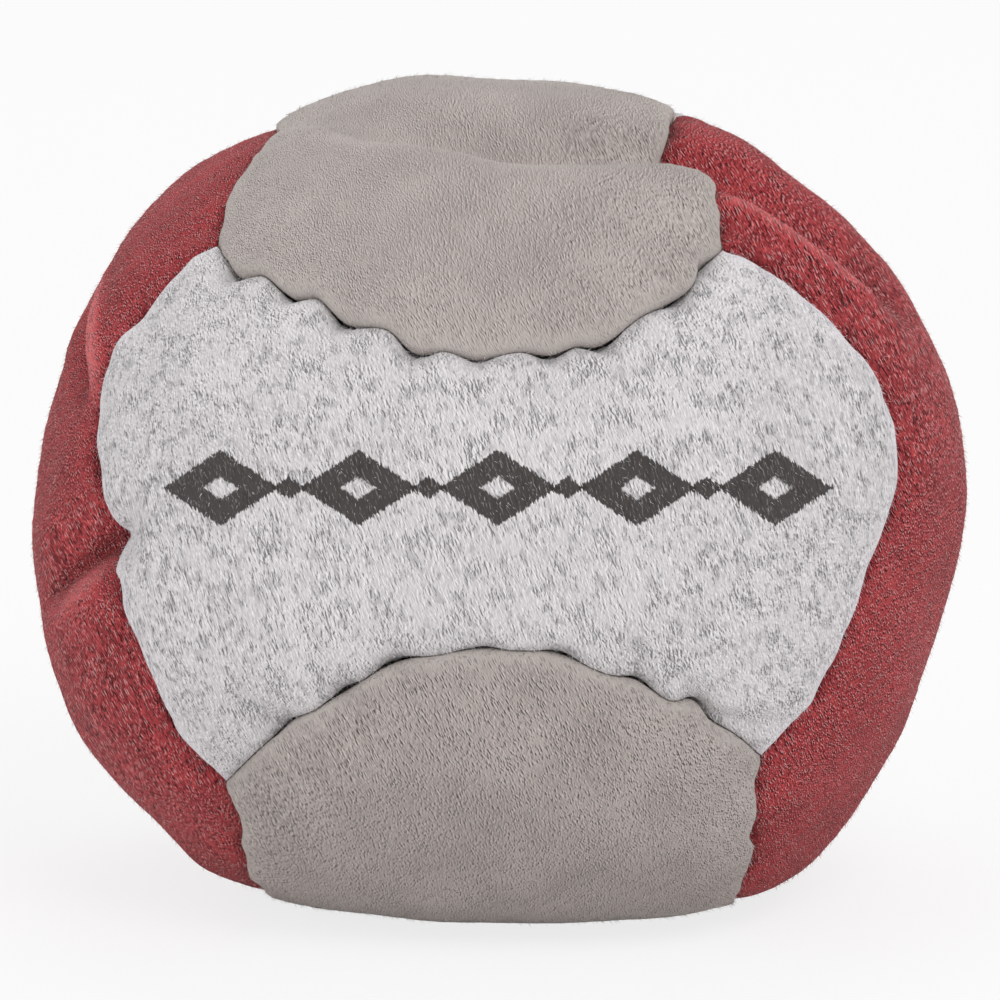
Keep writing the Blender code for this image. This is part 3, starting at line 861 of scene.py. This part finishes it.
    def turned_in(
        self, skin: Skin, sides: list[Side], parts: tuple, ring: np.ndarray, first: int
    ) -> tuple[np.ndarray, list]:
        """The allowance that goes down into the bag, with its needle holes.

        Args:
            skin: The bag's skin.
            sides: The panel's sides.
            parts: Where each side has its points.
            ring: Numbers of the border's points, anticlockwise.
            first: The number of the first new point.

        Returns:
            The new points, and the faces that join them to the border.
        """
        places, steps, outs, depths, pierced = [], [], [], [], []
        for number, side in enumerate(sides):
            part = parts[number] if number < 2 else parts[number][::-1]
            shares = side.shares(part)
            points, _, left, outward = side.seam.frames(skin, shares)
            inward = left * side.inward
            to_end = np.minimum(shares, 1 - shares) * side.seam.length
            taper = smooth_step(to_end / self.corner_reach)
            hole = np.abs(shares[:, None] - side.seam.holes()) * side.seam.length
            places.append(points)
            steps.append(inward)
            outs.append(outward)
            depths.append(self.corner_share + (1 - self.corner_share) * taper)
            pierced.append(hole.min(axis=1) < self.hole / 2)
        for number in range(4):
            before, after = steps[number - 1][-1], steps[number][0]
            steps[number][0] = (before + after) / (1 + before @ after)
        places, steps, outs, depths, pierced = (
            np.concatenate([row[:-1] for row in rows])
            for rows in (places, steps, outs, depths, pierced)
        )
        made, faces = [], []
        above = ring
        count = len(ring)
        hole_bottom = self.hole_top + self.hole
        for level in (self.first_turn, self.hole_top, hole_bottom, self.allowance):
            sunk = self.crown + self.seam_depth + level * depths
            row = places + steps * (self.seam_gap / 2) - outs * sunk[:, None]
            made.append(skin.on_floor(row))
            below = first + np.arange(count)
            first += count
            for column in range(count):
                after = (column + 1) % count
                if level == hole_bottom and pierced[column] and pierced[after]:
                    continue
                faces.append((above[column], below[column], below[after], above[after]))
            above = below
        return np.vstack(made), [tuple(map(int, face)) for face in faces]

    def full_share(self, count: int) -> np.ndarray:
        """How much of its full thickness the suede has at each point.

        Args:
            count: How many points the sheet has.

        Returns:
            From 0 along the skived edges to 1.
        """
        shares = np.zeros(count)
        shares[: len(self.from_seam)] = smooth_step(self.from_seam / self.skived_reach)
        return np.round(shares, 2)

    def build(self, skin: Skin, seams: list[Seam], finish: "Suede") -> bpy.types.Object:
        """Make the panel and put it in its solid's place.

        Args:
            skin: The bag's skin.
            seams: All the seams.
            finish: The panel's suede.

        Returns:
            The panel.
        """
        points, faces, marks = self.shape(skin, seams)
        piece = made_piece(self.name, points.tolist(), faces, finish.material())
        for name, values in zip((RIM_HIGHLIGHT, WEAR_AND_FOLD_SHADE, TUCKED_SHADE), marks):
            mark = piece.data.attributes.new(name, "FLOAT", "POINT")
            mark.data.foreach_set("value", values)
        piece.data.shade_smooth()
        full = piece.vertex_groups.new(name=FULL)
        shares = self.full_share(len(points))
        for number in np.flatnonzero(shares > 0):
            full.add([int(number)], float(shares[number]), "REPLACE")
        thicken = piece.modifiers.new("Suede thickness", "SOLIDIFY")
        thicken.thickness = self.thickness
        thicken.vertex_group = FULL
        thicken.thickness_vertex_group = self.skived
        thicken.offset = -1.0
        node = self.name.replace("suede_", "") + "_panel"
        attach(piece, BODY)
        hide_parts(node)
        return piece


# Shading


def sums(operation: str) -> tuple[Callable, Callable]:
    """A Math node's operation as two methods of a value.

    Args:
        operation: The operation.

    Returns:
        The method with a value first, and the one with it second.
    """

    def forward(value: "Value", other: "Value | float") -> "Value":
        """The result with this value first."""
        inputs = {0: value, 1: other}
        return value.nodes.node("ShaderNodeMath", {"operation": operation}, inputs)

    def reflected(value: "Value", other: "Value | float") -> "Value":
        """The result with this value second."""
        inputs = {0: other, 1: value}
        return value.nodes.node("ShaderNodeMath", {"operation": operation}, inputs)

    return forward, reflected


class Value:
    """A value in a material's nodes, with the sums that are used on it."""

    def __init__(self, nodes: "Nodes", socket: bpy.types.NodeSocket) -> None:
        """Hold a node's output."""
        self.nodes, self.socket = nodes, socket

    __add__, __radd__ = sums("ADD")
    __sub__, __rsub__ = sums("SUBTRACT")
    __mul__, __rmul__ = sums("MULTIPLY")
    __truediv__, __rtruediv__ = sums("DIVIDE")

    def __abs__(self) -> "Value":
        """This without its sign."""
        return self.nodes.node("ShaderNodeMath", {"operation": "ABSOLUTE"}, {0: self, 1: 0.0})

    def step(self, low: float, high: float) -> "Value":
        """From 0 at low to 1 at high, eased."""
        inputs = {"Value": self, "From Min": low, "From Max": high}
        eased = {"interpolation_type": "SMOOTHSTEP"}
        return self.nodes.node("ShaderNodeMapRange", eased, inputs)


class Nodes:
    """The nodes of one material or of the sky."""

    def __init__(self, name: str, kind: str = "materials", **settings) -> None:
        """Start a material or a world.

        Args:
            name: Its name.
            kind: Which of the two: materials or worlds.
            **settings: Values for its shader's own sockets, by name with underscores.
        """
        self.owner = getattr(bpy.data, kind).new(name)
        self.owner.use_nodes = True
        self.tree = self.owner.node_tree
        self.out = next(n for n in self.tree.nodes if n.type.startswith("OUTPUT")).inputs["Surface"]
        self.surface = self.out.links[0].from_node
        for setting, value in settings.items():
            self.surface.inputs[setting.replace("_", " ")].default_value = value

    def node(self, kind: str, settings: dict, inputs: dict, output: int | str = 0) -> Value:
        """Add a node.

        Args:
            kind: The node's type.
            settings: Its own settings, which are set first.
            inputs: Values or links of its sockets, by name or number.
            output: The output that is wanted.

        Returns:
            That output.
        """
        made = self.tree.nodes.new(kind)
        for name, value in settings.items():
            setattr(made, name, value)
        for name, value in inputs.items():
            if isinstance(value, Value):
                self.tree.links.new(value.socket, made.inputs[name])
            else:
                made.inputs[name].default_value = value
        return Value(self, made.outputs[output])

    def here(self) -> Value:
        """Places on the piece."""
        return self.node("ShaderNodeTexCoord", {}, {}, "Object")

    def mark(self, name: str) -> Value:
        """One of the marks that a panel's points carry."""
        return self.node("ShaderNodeAttribute", {"attribute_name": name}, {}, "Fac")

    def mix(
        self, share: Value | float, first: Value | Colour, second: Value | Colour, kind: str = "MIX"
    ) -> Value:
        """Two colours mixed.

        Args:
            share: How much of the second.
            first: A colour or a link.
            second: A colour or a link.
            kind: How they are mixed.

        Returns:
            The colour.
        """
        colours = [c if isinstance(c, Value) else (*c, 1.0) for c in (first, second)]
        settings = {"data_type": "RGBA", "blend_type": kind}
        inputs = {0: share, 6: colours[0], 7: colours[1]}
        return self.node("ShaderNodeMix", settings, inputs, output=2)

    def noise(self, where: Value, scale: float, detail: float = 2.0, bent: float = 0.0) -> Value:
        """Noise at places, with so many swells to each unit, bent by some part of one."""
        inputs = {"Vector": where, "Scale": scale, "Detail": detail, "Distortion": bent}
        return self.node("ShaderNodeTexNoise", {"noise_dimensions": "3D"}, inputs, "Fac")

    def feed(self, socket: str, value: Value) -> None:
        """Link a value to one of the surface shader's sockets."""
        self.tree.links.new(value.socket, self.surface.inputs[socket])

    def bump(self, height: Value, distance: float, strength: float) -> None:
        """Link a height to the surface's normal."""
        inputs = {"Height": height, "Distance": distance, "Strength": strength}
        self.feed("Normal", self.node("ShaderNodeBump", {}, inputs, "Normal"))

    def show(self, shader: Value, share: float) -> None:
        """Mix in another shader for the camera, and for what shows in gloss or through glass.

        Args:
            shader: The other shader.
            share: How much of it.
        """
        rays = ("Is Camera Ray", "Is Glossy Ray", "Is Transmission Ray")
        camera, gloss, glass = (self.node("ShaderNodeLightPath", {}, {}, ray) for ray in rays)
        own = Value(self, self.surface.outputs[0])
        inputs = {0: (camera + gloss + glass) * share, 1: own, 2: shader}
        self.tree.links.new(self.node("ShaderNodeMixShader", {}, inputs).socket, self.out)


@dataclass(frozen=True)
class Nap:
    """How the suede's fibres lie: combed down and to the right over the whole bag."""

    skin: Skin
    lean: float = math.radians(62)
    across: float = 0.00010
    along: float = 0.00042
    lit_across: float = 0.55
    lit_along: float = 0.08
    stroke_scale: float = 0.50
    stroke_edge: float = 0.50
    stroke_full: float = 0.08
    rarest: float = 0.22
    commonest: float = 0.62

    def lie(self) -> np.ndarray:
        """The way that the fibres lie."""
        return RIGHT * math.cos(self.lean) - self.skin.face_up * math.sin(self.lean)

    def comb(self) -> Matrix:
        """Turn that brings the second axis along the fibres."""
        along = self.lie()
        across = RIGHT * math.sin(self.lean) + self.skin.face_up * math.cos(self.lean)
        return Matrix(np.array((across, along, np.cross(across, along))).T)

    def lay(self, nodes: Nodes, shift: float, coarse: float = 1.0, long: float = 1.0) -> Value:
        """Places in fibre lengths and widths.

        Args:
            nodes: The material's nodes.
            shift: Moves one set of fibres off another.
            coarse: How many times longer and wider the strands are.
            long: How many times longer again.

        Returns:
            The places.
        """
        size = (self.across * coarse, self.along * coarse * long, self.across * coarse)
        inputs = {"Vector": nodes.here(), "Location": (shift, shift, shift)}
        inputs |= {"Rotation": self.comb().to_euler(), "Scale": size}
        return nodes.node("ShaderNodeMapping", {"vector_type": "TEXTURE"}, inputs)

    def beside(self, nodes: Nodes, laid: Value) -> Value:
        """Places a part of a fibre's width further across the nap."""
        inputs = {0: laid, 1: (self.lit_across, self.lit_along, 0.0)}
        return nodes.node("ShaderNodeVectorMath", {"operation": "ADD"}, inputs)

    def strokes(self, nodes: Nodes, laid: Value) -> Value:
        """Scattered fibres, from 0 between them to 1 along the highest.

        Args:
            nodes: The material's nodes.
            laid: Places in fibre lengths and widths.

        Returns:
            How high the nap stands.
        """
        inputs = {"Vector": laid, "Scale": self.stroke_scale, "Randomness": 1.0}
        away = nodes.node("ShaderNodeTexVoronoi", {}, inputs, "Distance")
        chance = nodes.node("ShaderNodeTexVoronoi", {}, inputs, "Color")
        high = away.step(self.stroke_edge, self.stroke_full)
        return high * chance.step(self.rarest, self.commonest)


@dataclass(frozen=True)
class Print:
    """A plain band of ringed and small lozenges inked across the front panel."""

    ink: Colour = (0.045, 0.039, 0.037)
    # The ink's paler colour on the fibres' lit sides, a painted highlight.
    ink_highlight: Colour = (0.16, 0.145, 0.14)
    cover: float = 0.96
    large: int = 5
    pitch: float = 0.0080
    half_length: float = 0.0034
    half_height: float = 0.0022
    small_share: float = 0.30
    hollow_share: float = 0.26
    soft: float = 0.03
    row_end: Place = (1.0, 0.999)
    small_end: Place = (1.05, 1.04)
    above_middle: float = 0.0007
    fray: float = 0.30

    def mask(self, nodes: Nodes, skin: Skin, fibres: Value) -> Value:
        """Where the ink is.

        Args:
            nodes: The material's nodes.
            skin: The bag's skin.
            fibres: The fibres, about 0.5, which fray the ink's edges.

        Returns:
            From 0 off the ink to 1 on it.
        """
        here = nodes.here()
        reach = []
        for way in (RIGHT, skin.face_up):
            inputs = {0: here, 1: tuple(way)}
            dot = nodes.node("ShaderNodeVectorMath", {"operation": "DOT_PRODUCT"}, inputs, "Value")
            reach.append(dot - Vector(skin.middle).dot(Vector(way)))
        side, rise = reach[0], abs(reach[1] - self.above_middle) / self.half_height
        fray = (fibres - 0.5) * self.fray
        row = (abs(side) / (self.pitch * self.large / 2)).step(*self.row_end)
        whole = self.from_nearest(side, 0.5) + rise + fray
        hollow = whole.step(self.hollow_share, self.hollow_share + 2 * self.soft)
        ring = whole.step(1 + self.soft, 1 - self.soft) * hollow
        small = self.from_nearest(side, 0.0) + rise + fray
        small = small.step(self.small_share + self.soft, self.small_share - self.soft)
        ends = (abs(side) / (self.pitch * (self.large - 1) / 2)).step(*self.small_end)
        return ring * row + small * ends

    def from_nearest(self, side: Value, offset: float) -> Value:
        """How far along the band the nearest lozenge's middle lies.

        Args:
            side: How far to the right of the bag's middle.
            offset: Moves the row, in pitches.

        Returns:
            The distance in half lengths.
        """
        inputs = {0: side / self.pitch + offset + self.large % 2 / 2 - 0.5, 1: 1.0}
        turn = side.nodes.node("ShaderNodeMath", {"operation": "FLOORED_MODULO"}, inputs)
        return abs(turn - 0.5) * (self.pitch / self.half_length)


@dataclass(frozen=True)
class Suede:
    """Napped suede: fibres that lie one way, each with painted light on one side and painted shade
    on the other.
    """

    slot: str
    base: Colour
    light: Colour
    dark: Colour
    mist: Colour
    rim_highlight: Colour
    nap: Nap
    # How strongly the fibres' painted light and painted shade show in the colour.
    painted_relief: float = 1.0
    ground: float = 1.0
    strokes: float = 0.3
    stroke_lay: Place = (0.37, 0.75, 1.3)
    dark_from: float = 0.10
    light_from: float = 0.11
    light_crowding: float = 0.4
    step_over: float = 0.06
    misty: float = 0.0
    mist_from: float = 0.50
    mist_over: float = 0.18
    cluster: float = 0.0014
    cluster_gain: float = 1.6
    cluster_least: float = 0.2
    patch: float = 0.0045
    crowding: float = 0.20
    tuft: float = 3.6
    tuft_shift: float = 0.71
    tuft_long: float = 0.6
    mottled: float = 0.30
    # How strongly brushed-pale wear and painted highlight show on ridges, and painted shade in
    # hollows.
    wear_and_shade_gain: float = 0.16
    # A painted highlight along the ridges, and where it starts and where it is full.
    ridge_highlight: float = 0.0
    ridge_from: float = 0.15
    ridge_full: float = 0.9
    # Strength and least share of the painted shade under a neighbour's edge.
    seam_shadow: float = 0.85
    tucked_shade_least: float = 0.2
    # How much the painted highlight covers along edges that lap over.
    rim_highlight_cover: float = 0.85
    sheen: float = 0.20
    sheen_tint: Colour = (1.0, 1.0, 1.0)
    bump: float = 0.8
    nap_height: float = 0.00016
    ink: Print | None = None

    def material(self) -> bpy.types.Material:
        """The suede's material."""
        shine = {"Roughness": 0.95, "Specular_IOR_Level": 0.12, "Sheen_Weight": self.sheen}
        tint = (*self.sheen_tint, 1.0)
        nodes = Nodes(self.slot, **shine, Sheen_Roughness=0.5, Sheen_Tint=tint)
        lay, beside = self.nap.lay, self.nap.beside
        strands = nodes.noise(lay(nodes, 0.0), 1.0, bent=0.5)
        shaded = nodes.noise(beside(nodes, lay(nodes, 0.0)), 1.0, bent=0.5)
        tufts = lay(nodes, self.tuft_shift, self.tuft, self.tuft_long)
        tufts = nodes.noise(tufts, 1.0, detail=3.0, bent=0.3)
        here = nodes.here()
        cluster = nodes.noise(here, 1 / self.cluster, detail=3.0)
        patch = nodes.noise(here, 1 / self.patch, detail=3.0)
        fibres = self.nap.strokes(nodes, lay(nodes, *self.stroke_lay))
        strokes = fibres - self.nap.strokes(nodes, beside(nodes, lay(nodes, *self.stroke_lay)))
        # Painted relief: each fibre's value less that of the place beside it, so each fibre has a
        # painted lit side and a painted shaded side.
        ground = (strands - shaded) * (cluster * self.cluster_gain + self.cluster_least)
        facing = ground * self.ground + strokes * self.strokes
        crowd = (tufts + cluster - 1.0) * self.crowding
        wear_and_fold_shade = nodes.mark(WEAR_AND_FOLD_SHADE)
        shade = 1.0 + (patch - 0.5) * self.mottled + (tufts - 0.5) * self.mottled
        # Brushed-pale wear and painted highlight on ridges, and painted shade in the folds'
        # hollows.
        shade = shade + facing * self.painted_relief + wear_and_fold_shade * self.wear_and_shade_gain
        grey = nodes.node("ShaderNodeCombineXYZ", {}, {0: shade, 1: shade, 2: shade})
        mist = (tufts + crowd).step(self.mist_from, self.mist_from + self.mist_over)
        colour = nodes.mix(mist * self.misty, self.base, self.mist)
        colour = nodes.mix(1.0, colour, grey, "MULTIPLY")
        # Dark flecks: painted shade on the fibres' shaded sides, and dark fibres where they crowd.
        dark = (0.0 - facing + crowd).step(self.dark_from, self.dark_from + self.step_over)
        colour = nodes.mix(dark, colour, self.dark)
        # Pale flecks: painted highlight on the fibres' lit sides.
        lit = facing - crowd * self.light_crowding
        lit = lit.step(self.light_from, self.light_from + self.step_over)
        colour = nodes.mix(lit, colour, self.light)
        if self.ink:
            ink = self.ink.mask(nodes, self.nap.skin, strands) * self.ink.cover
            # The ink turns paler on the fibres' lit sides, a painted highlight.
            colour = nodes.mix(ink, colour, nodes.mix(lit, self.ink.ink, self.ink.ink_highlight))
        # Painted highlight along the ridges.
        ridge = wear_and_fold_shade.step(self.ridge_from, self.ridge_full) * self.ridge_highlight
        colour = nodes.mix(ridge, colour, self.light)
        # Painted shade where the panel tucks under its neighbour's edge.
        seam_shadow = nodes.mark(TUCKED_SHADE) * (tufts + self.tucked_shade_least) * self.seam_shadow
        colour = nodes.mix(seam_shadow, colour, self.dark)
        # Painted highlight along edges that lap over a neighbour.
        nodes.feed("Base Color", nodes.mix(nodes.mark(RIM_HIGHLIGHT) * self.rim_highlight_cover, colour, self.rim_highlight))
        nodes.bump(strands * 0.5 + fibres + tufts * 0.5, self.nap_height, self.bump)
        return nodes.owner


@dataclass(frozen=True)
class LooseHairs:
    """Loose hairs that stand out of a panel's nap, each a slim spike."""

    slot: str
    nap: Nap
    root: Colour
    tip: Colour
    density: float = 3.0e6
    shortest: float = 0.00015
    longest: float = 0.00042
    width: float = 0.000018
    lowest_rise: float = 0.15
    highest_rise: float = 1.5
    scatter: float = 0.45
    edge_reach: float = 0.0004
    edge_crowd: float = 3.0
    above_floor: float = 0.0009
    shade_size: float = 0.0003
    thirds: tuple[Place, ...] = ((1, 0), (-0.5, -0.87), (-0.5, 0.87))

    def material(self) -> bpy.types.Material:
        """The hairs' material, paler in some hairs than in others."""
        nodes = Nodes("loose_hairs", Roughness=0.9, Specular_IOR_Level=0.15)
        pale = nodes.noise(nodes.here(), 1 / self.shade_size, 1.0).step(0.40, 0.60)
        nodes.feed("Base Color", nodes.mix(pale, self.root, self.tip))
        return nodes.owner

    def grow(self, panel: SuedePanel) -> None:
        """Grow hairs on a panel, most of them along its raised edges.

        Args:
            panel: The panel, built.
        """
        dice = np.random.default_rng(panel.seed)
        quads = panel.nap_quads
        corners = panel.nap_points[quads]
        normals = np.cross(corners[:, 1] - corners[:, 0], corners[:, 3] - corners[:, 0])
        at_edge = np.exp(-panel.from_seam[quads].mean(axis=1) / self.edge_reach)
        crowd = np.linalg.norm(normals, axis=1) * (1 + self.edge_crowd * at_edge)
        count = round(crowd.sum() * self.density)
        chosen = dice.choice(len(quads), count, p=crowd / crowd.sum())
        u, v = dice.uniform(0, 1, (2, count, 1))
        first, second, third, fourth = corners[chosen].transpose(1, 0, 2)
        base = (1 - v) * ((1 - u) * first + u * second) + v * ((1 - u) * fourth + u * third)
        out = unit(normals[chosen])
        lie = self.nap.lie()
        lie = unit(lie - out * (out @ lie)[:, None])
        side = np.cross(out, lie)
        rise = dice.uniform(self.lowest_rise, self.highest_rise, (count, 1))
        way = unit(lie + side * dice.normal(0, self.scatter, (count, 1)) + out * rise)
        length = dice.uniform(self.shortest, self.longest, (count, 1))
        tips = base + way * length
        flat, sunk = unit(np.cross(out, way)), base - out * self.width
        ring = [sunk + (flat * wide + out * deep) * self.width for wide, deep in self.thirds]
        grown = np.stack((*ring, tips), axis=1)[base[:, 2] > self.above_floor]
        starts = 4 * np.arange(len(grown))[:, None, None]
        faces = starts + np.array(((0, 1, 3), (1, 2, 3), (2, 0, 3), (2, 1, 0)))
        points, faces = grown.reshape(-1, 3).tolist(), faces.reshape(-1, 3).tolist()
        name = panel.name.replace("suede", "hairs")
        piece = made_piece(name, points, faces, self.material())
        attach(piece, BODY)
        LOG.info("%s: %d hairs", name, len(grown))


@dataclass(frozen=True)
class WaxedThread:
    """Dark waxed thread, its strands twisted together."""

    base: Colour = (0.10, 0.09, 0.09)
    strand: Colour = (0.17, 0.155, 0.15)
    strands_to_metre: float = 900.0
    strand_height: float = 0.00005

    def material(self) -> bpy.types.Material:
        """The thread's material."""
        nodes = Nodes("waxed_thread", Roughness=0.6, Specular_IOR_Level=0.35)
        settings = {"wave_type": "BANDS", "bands_direction": "DIAGONAL"}
        inputs = {"Vector": nodes.here(), "Scale": self.strands_to_metre, "Distortion": 1.5}
        twist = nodes.node("ShaderNodeTexWave", settings, inputs, "Fac")
        nodes.feed("Base Color", nodes.mix(twist, self.base, self.strand))
        nodes.bump(twist, self.strand_height, 0.6)
        return nodes.owner


@dataclass(frozen=True)
class Grains:
    """Fine dry grains, each its own shade."""

    pale: Colour = (0.62, 0.54, 0.40)
    brown: Colour = (0.40, 0.32, 0.22)
    grain: float = 0.0006
    grain_height: float = 0.0003

    def material(self) -> bpy.types.Material:
        """The filling's material."""
        nodes = Nodes("filling_grains", Roughness=0.85, Specular_IOR_Level=0.3)
        inputs = {"Vector": nodes.here(), "Scale": 1 / self.grain}
        cells = nodes.node("ShaderNodeTexVoronoi", {}, inputs, "Distance")
        shade = nodes.node("ShaderNodeTexVoronoi", {}, inputs, "Color")
        tone = nodes.node("ShaderNodeSeparateColor", {}, {0: shade})
        nodes.feed("Base Color", nodes.mix(tone, self.pale, self.brown))
        nodes.bump(1.0 - cells, self.grain_height, 0.8)
        return nodes.owner


# Studio


@dataclass(frozen=True)
class Lamp:
    """A soft square lamp."""

    name: str
    place: tuple[float, float, float]
    side: float
    level: float

    def hang(self, target: Vector) -> None:
        """Put the lamp in the scene, aimed at a point that it lights to its level.

        Args:
            target: The point.
        """
        data = bpy.data.lights.new(self.name, "AREA")
        data.size = self.side
        away = target - Vector(self.place)
        data.energy = self.level * math.pi**2 * away.length_squared
        put_in(self.name, data, Vector(self.place), away)


@dataclass(frozen=True)
class Studio:
    """A plain pale floor, soft light and the camera."""

    skin: Skin
    floor_side: float = 30.0
    floor_colour: Colour = (0.95, 0.95, 0.95)
    floor_white: float = 0.80
    sky_level: float = 0.50
    camera_distance: float = 0.60
    camera_aim_right: float = 0.00012
    focal_length: float = 361.0
    nearest: float = 0.01
    farthest: float = 100.0
    lamps: tuple[Lamp, ...] = (
        Lamp("key", (0.34, -0.68, 0.75), 0.55, 0.365),
        Lamp("left_fill", (-0.70, -0.45, 0.35), 0.50, 0.14),
        Lamp("back_top", (0.05, 0.45, 0.80), 0.50, 0.20),
    )

    def lay_floor(self) -> None:
        """Lay the floor under the bag."""
        half = self.floor_side / 2
        corners = [(-half, -half, 0), (half, -half, 0), (half, half, 0), (-half, half, 0)]
        colour = (*self.floor_colour, 1.0)
        nodes = Nodes("pale_floor", Base_Color=colour, Roughness=0.9, Specular_IOR_Level=0.1)
        nodes.show(nodes.node("ShaderNodeEmission", {}, {"Color": WHITE}), self.floor_white)
        made_piece("floor", corners, [(0, 1, 2, 3)], nodes.owner)

    def light(self) -> None:
        """Hang the lamps, and set a soft sky that shows white behind the bag."""
        for lamp in self.lamps:
            lamp.hang(Vector(self.skin.middle))
        sky = Nodes("studio", "worlds", Color=WHITE, Strength=self.sky_level)
        sky.show(sky.node("ShaderNodeBackground", {}, {"Color": WHITE}), 1.0)
        bpy.context.scene.world = sky.owner

    def aim_camera(self) -> None:
        """Set the camera out along the face's axis."""
        data = bpy.data.cameras.new("camera")
        data.lens = self.focal_length
        data.clip_start, data.clip_end = self.nearest, self.farthest
        out = Vector(self.skin.face_out)
        target = Vector(self.skin.middle) + Vector(RIGHT) * self.camera_aim_right
        place = target + out * self.camera_distance
        bpy.context.scene.camera = put_in("camera", data, place, -out)

    def set_up(self) -> None:
        """Lay the floor, light it and aim the camera."""
        self.lay_floor()
        self.light()
        self.aim_camera()
        bpy.context.scene.view_settings.view_transform = "Standard"


# The bag


@dataclass
class Footbag:
    """The whole bag."""

    skin: Skin = field(default_factory=Skin)
    first_seed: int = 101

    def suedes(self) -> dict[Cloth, Suede]:
        """The heather suede with and without its band, both warm greys, and the maroon."""
        heather = Suede(
            "heather_suede", base=(0.70, 0.668, 0.678), light=(0.90, 0.885, 0.895),
            dark=(0.23, 0.22, 0.225), mist=(0.42, 0.41, 0.42), rim_highlight=(0.84, 0.80, 0.85),
            nap=Nap(self.skin, lean=math.radians(71), across=0.00012, along=0.00046),
            painted_relief=1.2, ground=1.0, strokes=0.12, dark_from=0.13, light_from=0.13, misty=0.70,
            mist_from=0.49, crowding=0.40, mottled=0.25, wear_and_shade_gain=0.20, bump=0.5,
        )
        warm_grey = Suede(
            "warm_grey_suede", base=(0.445, 0.392, 0.371), light=(0.68, 0.63, 0.60),
            dark=(0.12, 0.10, 0.09), mist=(0.35, 0.305, 0.29), rim_highlight=(0.52, 0.47, 0.44),
            nap=Nap(self.skin, across=0.000075, along=0.00029),
            painted_relief=1.5, ground=1.4, strokes=1.25, dark_from=0.20, light_from=0.22,
            step_over=0.16, misty=0.5, tuft=5.0, mottled=0.60, wear_and_shade_gain=0.25, bump=0.45,
            sheen_tint=(1.0, 0.97, 0.94),
        )
        scuffed = replace(warm_grey.nap, across=9e-5, along=3e-4, rarest=0.34, commonest=0.70)
        rough_grey = replace(
            warm_grey, base=(0.435, 0.383, 0.363), nap=scuffed, painted_relief=1.7, ground=1.1,
            strokes=2.0, dark_from=0.14, light_from=0.20, bump=0.7,
        )
        combed = Nap(self.skin, math.radians(60), 9e-5, 3.4e-4, rarest=0.30, commonest=0.66)
        maroon = Suede(
            "maroon_suede", base=(0.40, 0.054, 0.060), light=(0.84, 0.38, 0.38),
            dark=(0.040, 0.003, 0.005), mist=(0.19, 0.018, 0.024), rim_highlight=(0.38, 0.07, 0.08),
            nap=combed, painted_relief=2.7, ground=1.25, strokes=1.30, dark_from=0.12, light_from=0.21,
            step_over=0.14, misty=0.8, mottled=0.80, wear_and_shade_gain=0.70, ridge_highlight=0.28, bump=0.8,
            sheen=0.10, sheen_tint=(1.0, 0.75, 0.75),
        )
        printed = replace(heather, ink=Print())
        return dict(zip(Cloth, (printed, heather, warm_grey, rough_grey, maroon)))

    def hairs(self) -> dict[Cloth, LooseHairs]:
        """The loose hairs of each suede."""
        nap = Nap(self.skin)
        heather = LooseHairs("heather_suede", nap, (0.55, 0.54, 0.55), (0.85, 0.84, 0.86))
        grey = LooseHairs("warm_grey_suede", nap, (0.30, 0.26, 0.25), (0.66, 0.61, 0.57))
        maroon = LooseHairs("maroon_suede", nap, (0.38, 0.06, 0.07), (0.88, 0.60, 0.58))
        return dict(zip(Cloth, (heather, heather, grey, grey, maroon)))

    def panels(self) -> list[SuedePanel]:
        """The six panels, their corners anticlockwise as seen from outside."""
        near = [f"{corner}_front" for corner in CORNER_ROUND]
        far = [f"{corner}_back" for corner in CORNER_ROUND]
        rows = (
            ("front", near, Cloth.PRINTED, (0.050, 0.042), 0.00150),
            ("back", (far[1], far[0], far[3], far[2]), Cloth.HEATHER, (0.058, 0.050), 0.00220),
            ("top", (near[3], near[2], *far[2:]), Cloth.WARM_GREY, (0.050, 0.038), 0.00130),
            ("bottom", (*far[:2], near[1], near[0]), Cloth.ROUGH_GREY, (0.056, 0.044), 0.00190),
            ("left", (far[0], near[0], near[3], far[3]), Cloth.MAROON, (0.052, 0.042), 0.00165),
            ("right", (near[1], *far[1:3], near[2]), Cloth.MAROON, (0.052, 0.042), 0.00165),
        )
        return [
            SuedePanel(f"suede_{name}", *sizes, seed=self.first_seed + 2 * number)
            for number, (name, *sizes) in enumerate(rows)
        ]

    def build(self) -> None:
        """Make the panels, and finish the threads and the filling."""
        seams = sewn_seams()
        for seam in seams:
            seam.measure(self.skin)
        suedes, hairs = self.suedes(), self.hairs()
        for panel in self.panels():
            piece = panel.build(self.skin, seams, suedes[panel.cloth])
            LOG.info("%s: %d faces", piece.name, len(piece.data.polygons))
            hairs[panel.cloth].grow(panel)
        thread, grains = WaxedThread().material(), Grains().material()
        for node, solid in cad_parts.items():
            if node.endswith("_thread"):
                self.dress(solid, thread)
            elif node == "filling":
                self.dress(solid, grains)

    @staticmethod
    def dress(solid: bpy.types.Object, material: bpy.types.Material) -> None:
        """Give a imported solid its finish.

        Args:
            solid: The solid.
            material: Its finish.
        """
        for slot in solid.material_slots:
            slot.material = material
        LOG.info("%s: %s", solid.name, material.name)


def main() -> None:
    """Make the scene."""
    logging.basicConfig(level=logging.INFO, format="%(name)s: %(message)s")
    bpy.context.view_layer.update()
    bag = Footbag()
    Studio(bag.skin).set_up()
    bag.build()


if __name__ == "__main__":
    main()
